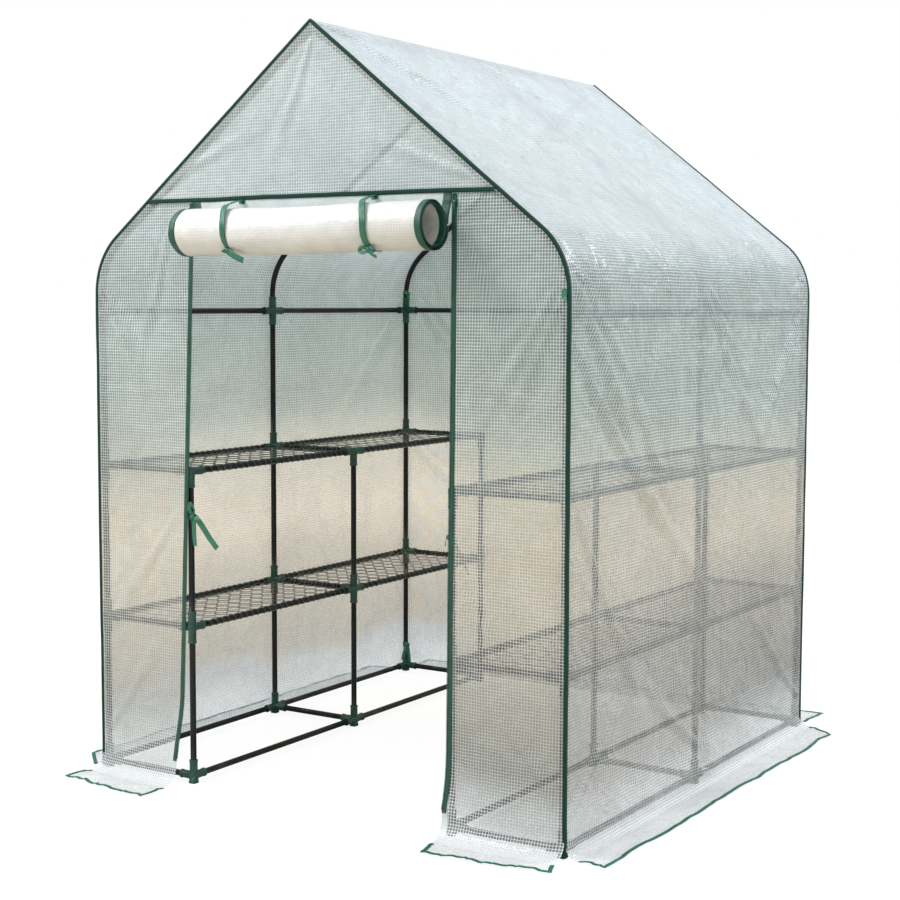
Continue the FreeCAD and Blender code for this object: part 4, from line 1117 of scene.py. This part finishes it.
b = Build()
for key in ("front_left", "front_right", "right", "left", "back"):
    line = HEMS[key]
    keep = np.concatenate([[True], np.linalg.norm(np.diff(line, axis=0), axis=1) > 1e-5])
    line = line[keep]
    cen = line.mean(axis=0)
    t = np.gradient(line, axis=0)
    t[:, 2] = 0
    t /= np.maximum(np.linalg.norm(t, axis=1), 1e-9)[:, None]
    side = np.stack([-t[:, 1], t[:, 0], 0 * t[:, 0]], 1)
    if np.mean(np.sum(side * (cen - line), axis=1)) < 0:
        side = -side
    for _ in range(3):
        side = (side + np.roll(side, 1, 0) * 0.5 + np.roll(side, -1, 0) * 0.5)
        side[0], side[-1] = side[1], side[-2]
        side /= np.linalg.norm(side, axis=1)[:, None]
    mid = line + side * 0.0042 + np.array((0, 0, 0.0004))
    mid[:, 2] = np.maximum(mid[:, 2], 0.0014)
    strip(b, mid, side, (0, 0, 1.0), 0.0100, 0.0024, 0.0006, 9)
b.object("hem_tapes", M_HEM, ROOT, ("skirt_bindings",))


# ------------------------------------------------------------------ door zips
def edge_wave(z, P, col):
    """y of a front panel's door edge by height, from its mesh."""
    zz, yy = P[:, col, 2], P[:, col, 1]
    order = np.argsort(zz)
    return np.interp(z, zz[order], yy[order])


def zip_tape(name, node, xf, s, P, col, z1=1.5105):
    z = np.linspace(0.062, z1, 260)
    x = np.array([xf(q) for q in z]) + s * 0.0058
    y = edge_wave(z, P, col) - 0.0013
    b = Build()
    strip(b, np.stack([x, y, z], 1), (1.0, 0, 0), (0, -1.0, 0), 0.0125, 0.0015, 0.0006, 31)
    tape = b.object(name, M_TAPE, ROOT, (node,))
    # moulded coil teeth along the door side of the tape
    b = Build()
    n = 560
    zt = np.linspace(0.070, z1 - 0.006, n)
    h = (zt[1] - zt[0]) * 0.30
    for q in zt:
        xc = xf(q) - s * 0.0007
        yc = float(edge_wave(q, P, col)) - 0.0016
        v = [(xc + a * 0.0019, yc + bb * 0.0010, q + c * h) for a in (-1, 1) for bb in (-1, 1) for c in (-1, 1)]
        b.add(v, [(0, 1, 3, 2), (4, 6, 7, 5), (0, 4, 5, 1), (2, 3, 7, 6), (0, 2, 6, 4), (1, 5, 7, 3)])
    teeth = b.object(name + "_teeth", M_TEETH, ROOT, flat=True)
    return tape, teeth


zip_tape("zip_left_tape", "zip_tape_left", x_left, -1, PL, -1)
zip_tape("zip_right_tape", "zip_tape_right", x_right, 1, PR, 0)


# ------------------------------------------------------------------ rolled door
def roll_radius(x, th):
    """Outside radius of the roll: pinched under the two straps, fuller between them."""
    pinch = 0.0035 * gauss(x + 0.172, 0.022) + 0.0035 * gauss(x - 0.242, 0.022)
    puff = 0.0014 * vnoise(x * 6, np.cos(th) * 1.3 + 2, 901) + 0.0005 * ridged(x * 11, np.cos(th) * 1.4 + np.sin(th), 902, 2)
    return puff - pinch


TURNS = 4.15
n_th = 150
n_x = 96
th = np.linspace(0, 2 * math.pi * TURNS, int(n_th * TURNS))     # 0 at the back of the roll, going down, forward and up
f = th / th[-1]
r_mid = (ROLL_R - 0.0008) * (1 - f) + 0.0500 * f
tx = np.linspace(0, 1, n_x)
tele0 = 0.0035 * np.sin(th * 0.31 + 0.7) + 0.0015 * vnoise(th * 0.9, 0 * th, 911)
tele1 = 0.0030 * np.sin(th * 0.27 + 2.1) + 0.0015 * vnoise(th * 0.8, 0 * th + 4, 912)
xa = ROLL_X0 + 0.004 + tele0
xb_ = ROLL_X1 - 0.004 + tele1
X = xa[:, None] * (1 - tx) + xb_[:, None] * tx
TH = np.broadcast_to(th[:, None], X.shape)
Rr = r_mid[:, None] + roll_radius(X, TH) * (1 - 0.35 * f[:, None]) + 0.0009 * np.minimum(1, f * 6)[:, None] * vnoise(X * 11, TH * 0.5, 913)
sagr = -0.0030 * (1 - ((X - 0.029) / 0.2) ** 2 * 0.3) * gauss(X - 0.029, 0.25)
Rr = Rr * 0.965
sagr = sagr - 0.0025 - 0.0040 * smooth(0.30, -0.34, X)
PRl = np.stack([X, ROLL_Y + Rr * np.cos(TH) * 1.0, ROLL_Z - Rr * np.sin(TH) * 0.975 + sagr], -1)
arc = np.concatenate([[0], np.cumsum(np.sqrt(np.diff(r_mid) ** 2 + (0.5 * (r_mid[1:] + r_mid[:-1]) * np.diff(th)) ** 2))])
UVr = np.stack(np.broadcast_arrays(X, -arc[:, None]), -1)
roll = sheet_object("door_rolled", PRl[::-1], UVr[::-1], M_DOOR, ("door_roll",), "door_roll")

# edge tapes of the door, rolled up with it: they show as green spirals at both ends
b = Build()
for col, s in ((0, 1), (-1, -1)):
    line = PRl[:, col].copy()
    radial = np.stack([0 * th, np.cos(th), -np.sin(th)], 1)
    side = np.tile(np.array((s, 0.0, 0.0)), (len(th), 1))
    strip(b, line + side * 0.0065 + radial * 0.0001, side, radial, 0.0170, 0.0015, 0.0004, 40 + s, rows=6)
edge = b.object("door_edge_tapes", M_TAPE, "door_roll")

# the short length of door from the header seam down to the roll
n_t = 90
t = np.linspace(0, 1, n_t)
ytop, ztop = YF - SKIN - 0.0026, Z_HEADER - 0.0005
y_roll = ROLL_Y + ROLL_R + 0.0004
z_roll = ROLL_Z + 0.001
zz = ztop + (z_roll - ztop) * t
yy = ytop + (y_roll - ytop) * smooth(0, 1, t)
ZZ, UU = np.meshgrid(zz, np.linspace(0, 1, 120), indexing="ij")
xl = (-0.3690 + 0.029 * smooth(0, 1, t))[:, None]
xr = (0.4085 - 0.0065 * smooth(0, 1, t))[:, None]
XX = xl * (1 - UU) + xr * UU
bulge = 0.0035 * vnoise(XX * 8, ZZ * 6, 921) + 0.0022 * ridged(XX * 19 + ZZ * 5, ZZ * 9, 922, 2)
YY = yy[:, None] - np.abs(bulge) * (np.sin(np.pi * t) ** 0.8)[:, None] - 0.0006
P = np.stack([XX, YY, ZZ], -1)
wgt = t * t * (3 - 2 * t)
UVp = np.stack([XX, ZZ - 1.365 * wgt[:, None]], -1)
panel = sheet_object("door_upper", P[::-1], UVp[::-1], M_DOOR_UP, ("door_panel_top",), None)
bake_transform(panel)
b = Build()
for xe, s in ((ROLL_X0 + 0.003, 1), (ROLL_X1 - 0.003, -1)):
    col = 0 if s > 0 else -1
    line = P[:, col].copy() + np.array((s * 0.0110, -0.0006, 0.0))
    strip(b, line, (s, 0.0, 0.0), (0, -1.0, 0.0), 0.0240, 0.0020, 0.0003, 61 + s, rows=6)
upper_tapes = b.object("door_upper_tapes", M_TAPE, None)
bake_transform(upper_tapes)
TRAVEL = 1.365
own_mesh(roll)
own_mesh(edge)


# ------------------------------------------------------------------ straps that hold the roll, and the frame ties
def ribbon(b, pts, width, thick, side0, twist=0.0, seed=0, n=None):
    """Ribbon through control points (Catmull-Rom), its width starting along side0 and turning by twist over its length."""
    c = np.array(pts, float)
    c = np.concatenate([[2 * c[0] - c[1]], c, [2 * c[-1] - c[-2]]])
    out = []
    for i in range(1, len(c) - 2):
        for u in np.linspace(0, 1, 10, endpoint=False):
            out.append(0.5 * ((2 * c[i]) + (-c[i - 1] + c[i + 1]) * u + (2 * c[i - 1] - 5 * c[i] + 4 * c[i + 1] - c[i + 2]) * u * u
                              + (-c[i - 1] + 3 * c[i] - 3 * c[i + 1] + c[i + 2]) * u ** 3))
    out.append(c[-2])
    p = np.array(out)
    t = np.gradient(p, axis=0)
    t /= np.linalg.norm(t, axis=1)[:, None]
    s = np.array(side0, float)
    S = []
    for k in range(len(p)):
        s = s - np.dot(s, t[k]) * t[k]
        s = s / np.linalg.norm(s)
        S.append(s.copy())
    S = np.array(S)
    Nn = np.cross(t, S)
    a = twist * np.linspace(0, 1, len(p)) ** 1.2
    S2 = S * np.cos(a)[:, None] + Nn * np.sin(a)[:, None]
    N2 = np.cross(t, S2)
    strip(b, p, S2, N2, width, thick, 0.0003, seed, rows=5)


def knot(b, c, axis, r, seed):
    """Overhand knot in flat ribbon: a tight crossed bundle of three turns."""
    c, axis = np.array(c, float), np.array(axis, float)
    axis /= np.linalg.norm(axis)
    up = np.array((0.0, 1, 0)) if abs(axis[1]) < 0.8 else np.array((1.0, 0, 0))
    e1 = np.cross(axis, up)
    e1 /= np.linalg.norm(e1)
    e2 = np.cross(axis, e1)
    for k, (tilt, rr) in enumerate(((0.5, 0.62), (-0.55, 0.70), (0.05, 0.80))):
        a = np.linspace(0, 2 * math.pi, 22)
        w = axis * math.cos(tilt) + e1 * math.sin(tilt)
        f1 = e1 * math.cos(tilt) - axis * math.sin(tilt)
        p = c + (np.cos(a)[:, None] * f1 + np.sin(a)[:, None] * e2) * r * rr
        rad = np.cos(a)[:, None] * f1 + np.sin(a)[:, None] * e2
        strip(b, p, w, rad, r * 0.95, 0.0017, 0.0004, seed + k, rows=5)
    ball(b, c, r * 0.52, 10, 7)


def strap(name, node, x_top, x, ang, tails, seed):
    b = Build()
    R0 = ROLL_R + 0.0008
    w = 0.0160
    top_front = np.array((x, YF - SKIN - 0.0044, Z_HEADER - 0.0040))
    back_end = np.array((x, YF + 0.0022, Z_HEADER - 0.010))
    dy, dz = top_front[1] - ROLL_Y, top_front[2] - ROLL_Z
    dist = math.hypot(dy, dz)
    a0 = math.atan2(dz, dy) + math.acos(min(1, (R0 + 0.0008) / dist))
    a = np.linspace(a0, 2 * math.pi - 0.05, 70)
    rr = R0 + 0.0006 - 0.0034 * np.ones_like(a) + 0.0004 * vnoise(a * 3, 0 * a, seed)
    loop = np.stack([np.full(70, x), ROLL_Y + rr * np.cos(a), ROLL_Z + rr * np.sin(a) * 0.99 - 0.001], 1)
    lead = top_front + (loop[0] - top_front) * np.linspace(0, 1, 10)[:-1, None]
    tailp = loop[-1] + (back_end - loop[-1]) * np.linspace(0, 1, 14)[1:, None]
    tailp[:, 1] = loop[-1][1] + (back_end[1] - loop[-1][1]) * smooth(0, 1, np.linspace(0, 1, 14)[1:])
    p = np.concatenate([lead, loop, tailp])
    way = lengths(p)
    p[:, 0] = x_top + (x - x_top) * smooth(0.0, 0.17, way) + 0.0012 * vnoise(way * 20, 0 * way, seed + 1)
    t = np.gradient(p, axis=0)
    t /= np.linalg.norm(t, axis=1)[:, None]
    side = np.tile(np.array((1.0, 0, 0)), (len(p), 1))
    side = side - np.sum(side * t, axis=1)[:, None] * t
    side /= np.linalg.norm(side, axis=1)[:, None]
    face = np.cross(side, t)
    strip(b, p, side, face, w, 0.0016, 0.0005, seed, rows=5)
    # the sewn start of the strap under the header tape
    strip(b, np.array([top_front + np.array((x_top - top_front[0], 0.0010, 0.003)), top_front + np.array((x_top - top_front[0], 0.0004, -0.003)), top_front + np.array((x_top - top_front[0] - 0.0004, -0.0004, -0.010))]),
          (1.0, 0, 0), (0, -1.0, 0), w * 1.25, 0.0022, 0.0002, seed + 2, rows=5)
    kc = np.array((x, ROLL_Y + (R0 + 0.0020) * math.cos(ang), ROLL_Z + (R0 + 0.0020) * math.sin(ang)))
    knot(b, kc, (1, 0.1, 0.1), 0.0095, seed + 4)
    for k, (pts, tw, width) in enumerate(tails):
        ribbon(b, [kc + np.array(q) for q in pts], width, 0.0013, (0.5, 0.0, 0.86), tw, seed + 9 + k)
    ob = b.object(name, M_RIBBON, ROOT, (node,))
    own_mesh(ob)
    return ob


strap("strap_left", "door_strap_left", -0.210, -0.167, math.radians(236),
      [([(0.000, -0.003, 0), (0.014, -0.009, -0.007), (0.032, -0.009, -0.016), (0.050, -0.005, -0.024)], 0.35, 0.0165),
       ([(-0.001, -0.004, 0), (-0.007, -0.008, -0.002), (-0.012, -0.007, -0.004)], -0.4, 0.0110)], 950)
strap("strap_right", "door_strap_right", 0.192, 0.247, math.radians(240),
      [([(0.001, -0.003, 0), (0.009, -0.009, 0.005), (0.019, -0.010, -0.001), (0.010, -0.008, -0.007), (0.000, -0.005, -0.003)], 0.5, 0.0085),
       ([(-0.001, -0.003, 0), (-0.010, -0.009, 0.005), (-0.020, -0.009, -0.002), (-0.011, -0.008, -0.008), (0.000, -0.005, -0.003)], -0.4, 0.0085),
       ([(0.000, -0.004, 0), (0.012, -0.008, -0.010), (0.026, -0.006, -0.018)], 0.5, 0.0080)], 970)


def ring_tie(b, c, axis_z=True, r=0.0090, seed=0, height=0.011):
    a = np.linspace(0, 2 * math.pi, 40)
    p = np.array(c) + np.stack([r * np.cos(a), r * np.sin(a), 0.0016 * np.sin(a * 2 + seed)], 1)
    rad = np.stack([np.cos(a), np.sin(a), 0 * a], 1)
    strip(b, p, (0, 0, 1.0), rad, height, 0.0015, 0.0003, seed, rows=5)


b = Build()
# left door post: ring, knot, one tail hanging, one tail thrown out to the right
ring_tie(b, (-0.4025, -0.720, 0.708), seed=1, height=0.016)
kc = np.array((-0.3885, -0.7265, 0.706))
knot(b, kc, (0.2, 0.3, 1.0), 0.0105, 980)
ribbon(b, [kc + np.array(q) for q in ((-0.002, -0.002, 0.004), (-0.008, -0.007, 0.022), (0.000, -0.009, 0.036), (0.007, -0.006, 0.020), (0.002, -0.003, 0.002))], 0.0120, 0.0014, (0.9, 0.1, 0.2), 0.4, 984)
ribbon(b, [kc + np.array(q) for q in ((0.002, -0.004, 0), (0.007, -0.007, -0.016), (0.006, -0.005, -0.044), (0.008, -0.004, -0.074))], 0.0150, 0.0014, (1, 0, 0), 0.25, 981)
ribbon(b, [kc + np.array(q) for q in ((0.002, -0.002, 0.002), (0.018, -0.008, -0.002), (0.036, -0.006, -0.022), (0.058, -0.003, -0.052), (0.078, 0.001, -0.076))], 0.0160, 0.0014, (0.75, 0.1, 0.65), 0.35, 982)
b.object("tie_left_post", M_RIBBON, ROOT, ("post_ties",))
b = Build()
ring_tie(b, (0.4025, -0.720, 0.708), seed=2, height=0.015)
kc = np.array((0.3885, -0.7130, 0.712))
knot(b, kc, (0.2, 0.3, 1.0), 0.0090, 990)
ribbon(b, [kc + np.array(q) for q in ((0, 0.001, 0), (0.010, 0.006, -0.010), (0.024, 0.014, -0.048), (0.043, 0.020, -0.090))], 0.0120, 0.0013, (1, 0, 0.1), 0.6, 991)
ribbon(b, [kc + np.array(q) for q in ((0, 0.002, 0), (-0.010, 0.004, -0.006), (-0.013, 0.003, -0.022))], 0.0110, 0.0013, (0.8, 0, 0.5), -0.5, 992)
b.object("tie_right_post", M_RIBBON, ROOT)
b = Build()
# small tab sewn into the front right corner, and the ties on the rear left post
strip(b, np.stack([np.full(8, 0.7035), np.linspace(-0.7350, -0.7362, 8), np.linspace(1.292, 1.270, 8)], 1), (1.0, 0, 0), (0, -1.0, 0.05), 0.0130, 0.0014, 0.0004, 993)
ring_tie(b, (-0.7025, 0.720, 0.092), seed=3, height=0.014, r=0.0095)
kc = np.array((-0.6900, 0.7115, 0.092))
knot(b, kc, (0.2, 0.3, 1.0), 0.0090, 994)
ribbon(b, [kc + np.array(q) for q in ((0, -0.002, 0), (0.006, -0.005, -0.012), (0.010, -0.004, -0.040), (0.013, -0.003, -0.066))], 0.0130, 0.0013, (1, 0, 0), 0.5, 995)
ribbon(b, [kc + np.array(q) for q in ((0, -0.002, 0), (-0.004, -0.008, -0.014), (-0.007, -0.012, -0.034), (-0.009, -0.014, -0.052))], 0.0120, 0.0013, (1, 0, 0.2), -0.6, 996)
ring_tie(b, (-0.7025, 0.720, 1.292), seed=4, height=0.014, r=0.0095)
kc = np.array((-0.6895, 0.7130, 1.290))
knot(b, kc, (0.2, 0.3, 1.0), 0.0080, 997)
ribbon(b, [kc + np.array(q) for q in ((0, -0.002, 0), (0.004, -0.005, -0.014), (0.003, -0.003, -0.038), (0.005, -0.003, -0.060))], 0.0120, 0.0013, (1, 0, 0), 0.6, 998)
b.object("ties_corner", M_RIBBON, ROOT, ("corner_ties",))


# ------------------------------------------------------------------ zip sliders and pulls keep their CAD shape
def zip_metal():
    n = Nodes("zip_slider_enamel")
    a = n.noise(260.0, 3.0, 0.6)
    c = n.ramp(a, [(0.3, (0.010, 0.070, 0.050)), (0.7, (0.022, 0.120, 0.085))])
    wear = n.ramp(n.noise(700.0, 4.0, 0.7), [(0.62, (0, 0, 0)), (0.72, (1, 1, 1))])
    c = n.mix(wear, c, (0.30, 0.34, 0.32))
    r = n.math("MULTIPLY_ADD", a, 0.2, 0.22)
    nb = n.bump(n.noise(1200.0, 2.0), 0.2, 0.0001)
    return n.done(n.principled(c, r, nb, Metallic=0.55, Coat_Weight=0.4, Coat_Roughness=0.15).outputs[0])


M_ZIP = zip_metal()
for node_name in ("zip_slider_left", "zip_slider_right", "zip_pull_left", "zip_pull_right"):
    o = [x for x in bpy.data.objects if x.type == "MESH" and x.name == node_name]
    for x in o:
        x.data.materials.clear()
        x.data.materials.append(M_ZIP)

# ------------------------------------------------------------------ floor, light and camera
def floor_material():
    """Plain and pale: white to the camera, a little darker to everything it lights from below."""
    n = Nodes("floor_plain_pale")
    a = n.noise(0.9, 3.0, 0.5)
    c = n.ramp(a, [(0.3, (0.60, 0.555, 0.49)), (0.7, (0.66, 0.61, 0.54))])
    lit = n.principled(c, 0.9, None)
    white = n.principled((0.16, 0.16, 0.16), 0.95, None, Specular_IOR_Level=0.0)
    glow = n.new("ShaderNodeEmission")
    glow.inputs[0].default_value = (1, 1, 1, 1)
    glow.inputs[1].default_value = 0.88
    seen = n.new("ShaderNodeAddShader")
    n.link(white.outputs[0], seen.inputs[0])
    n.link(glow.outputs[0], seen.inputs[1])
    path = n.new("ShaderNodeLightPath")
    pick = n.new("ShaderNodeMixShader")
    n.link(path.outputs["Is Camera Ray"], pick.inputs[0])
    n.link(lit.outputs[0], pick.inputs[1])
    n.link(seen.outputs[0], pick.inputs[2])
    return n.done(pick.outputs[0])


me = bpy.data.meshes.new("floor")
v, f, N = [], [], 40
for i in range(N + 1):
    for j in range(N + 1):
        v.append((-30 + 60 * i / N, -30 + 60 * j / N, -0.0005))
me.from_pydata(v, [], grid_faces(N + 1, N + 1))
me.update()
floor = bpy.data.objects.new("floor", me)
me.materials.append(floor_material())
bpy.context.scene.collection.objects.link(floor)

scene = bpy.context.scene
world = bpy.data.worlds.new("studio")
scene.world = world
world.use_nodes = True
wt = world.node_tree
bg = wt.nodes["Background"]
wc = wt.nodes.new("ShaderNodeTexCoord")
sep = wt.nodes.new("ShaderNodeSeparateXYZ")
wt.links.new(wc.outputs["Generated"], sep.inputs[0])
sky = wt.nodes.new("ShaderNodeValToRGB")
e = sky.color_ramp.elements
for k, (p, c) in enumerate([(0.0, (0.50, 0.46, 0.40)), (0.47, (0.56, 0.53, 0.47)), (0.55, (0.60, 0.62, 0.60)), (0.72, (0.92, 0.97, 1.0)), (1.0, (1.30, 1.38, 1.45))]):
    while len(e) <= k:
        e.new(0.9)
    e[k].position, e[k].color = p, (*c, 1)
mr = wt.nodes.new("ShaderNodeMapRange")
mr.inputs["From Min"].default_value, mr.inputs["From Max"].default_value = -1, 1
wt.links.new(sep.outputs[2], mr.inputs["Value"])
wt.links.new(mr.outputs[0], sky.inputs[0])
lp = wt.nodes.new("ShaderNodeLightPath")
mixw = wt.nodes.new("ShaderNodeMix")
mixw.data_type = "RGBA"
wt.links.new(lp.outputs["Is Camera Ray"], mixw.inputs[0])
wt.links.new(sky.outputs[0], mixw.inputs[6])
mixw.inputs[7].default_value = (1.0, 1.0, 1.0, 1)
wt.links.new(mixw.outputs[2], bg.inputs[0])
bg.inputs[1].default_value = 1.0


def softbox(name, loc, aim, size, power, color=(1, 1, 1)):
    L = bpy.data.lights.new(name, "AREA")
    L.shape = "RECTANGLE"
    L.size, L.size_y = size
    L.energy = power
    L.color = color
    ob = bpy.data.objects.new(name, L)
    bpy.context.scene.collection.objects.link(ob)
    ob.location = loc
    ob.rotation_mode = "QUATERNION"
    ob.rotation_quaternion = (Vector(aim) - Vector(loc)).to_track_quat("-Z", "Y")
    ob.visible_camera = False
    return ob


softbox("key", (-2.6, -3.0, 4.6), (0, 0, 0.9), (1.6, 1.6), 232, (1.0, 0.99, 0.975))
softbox("back_soft", (3.4, 3.2, 4.4), (0.3, 0, 0.9), (1.5, 1.5), 240, (0.95, 0.98, 1.0))


cam_data = bpy.data.cameras.new("view")
cam = bpy.data.objects.new("view", cam_data)
scene.collection.objects.link(cam)
yaw, pitch, rollc = math.radians(-32.541), math.radians(-5.002), math.radians(0.171)
fwd = np.array((math.sin(yaw) * math.cos(pitch), math.cos(yaw) * math.cos(pitch), math.sin(pitch)))
rgt = np.array((math.cos(yaw), -math.sin(yaw), 0))
upv = np.cross(rgt, fwd)
r2 = math.cos(rollc) * rgt + math.sin(rollc) * upv
u2 = -math.sin(rollc) * rgt + math.cos(rollc) * upv
m = Matrix.Identity(4)
for k in range(3):
    m[k][0], m[k][1], m[k][2] = float(r2[k]), float(u2[k]), float(-fwd[k])
m.translation = Vector((2.5109, -4.0371, 1.2633))
cam.matrix_world = m
cam_data.sensor_width = 36.0
cam_data.lens = 67.71
cam_data.dof.use_dof = False
cam_data.clip_start, cam_data.clip_end = 0.05, 80
scene.camera = cam
scene.view_settings.view_transform = "Standard"
scene.view_settings.exposure = 0.0
scene.cycles.transparent_max_bounces = 64
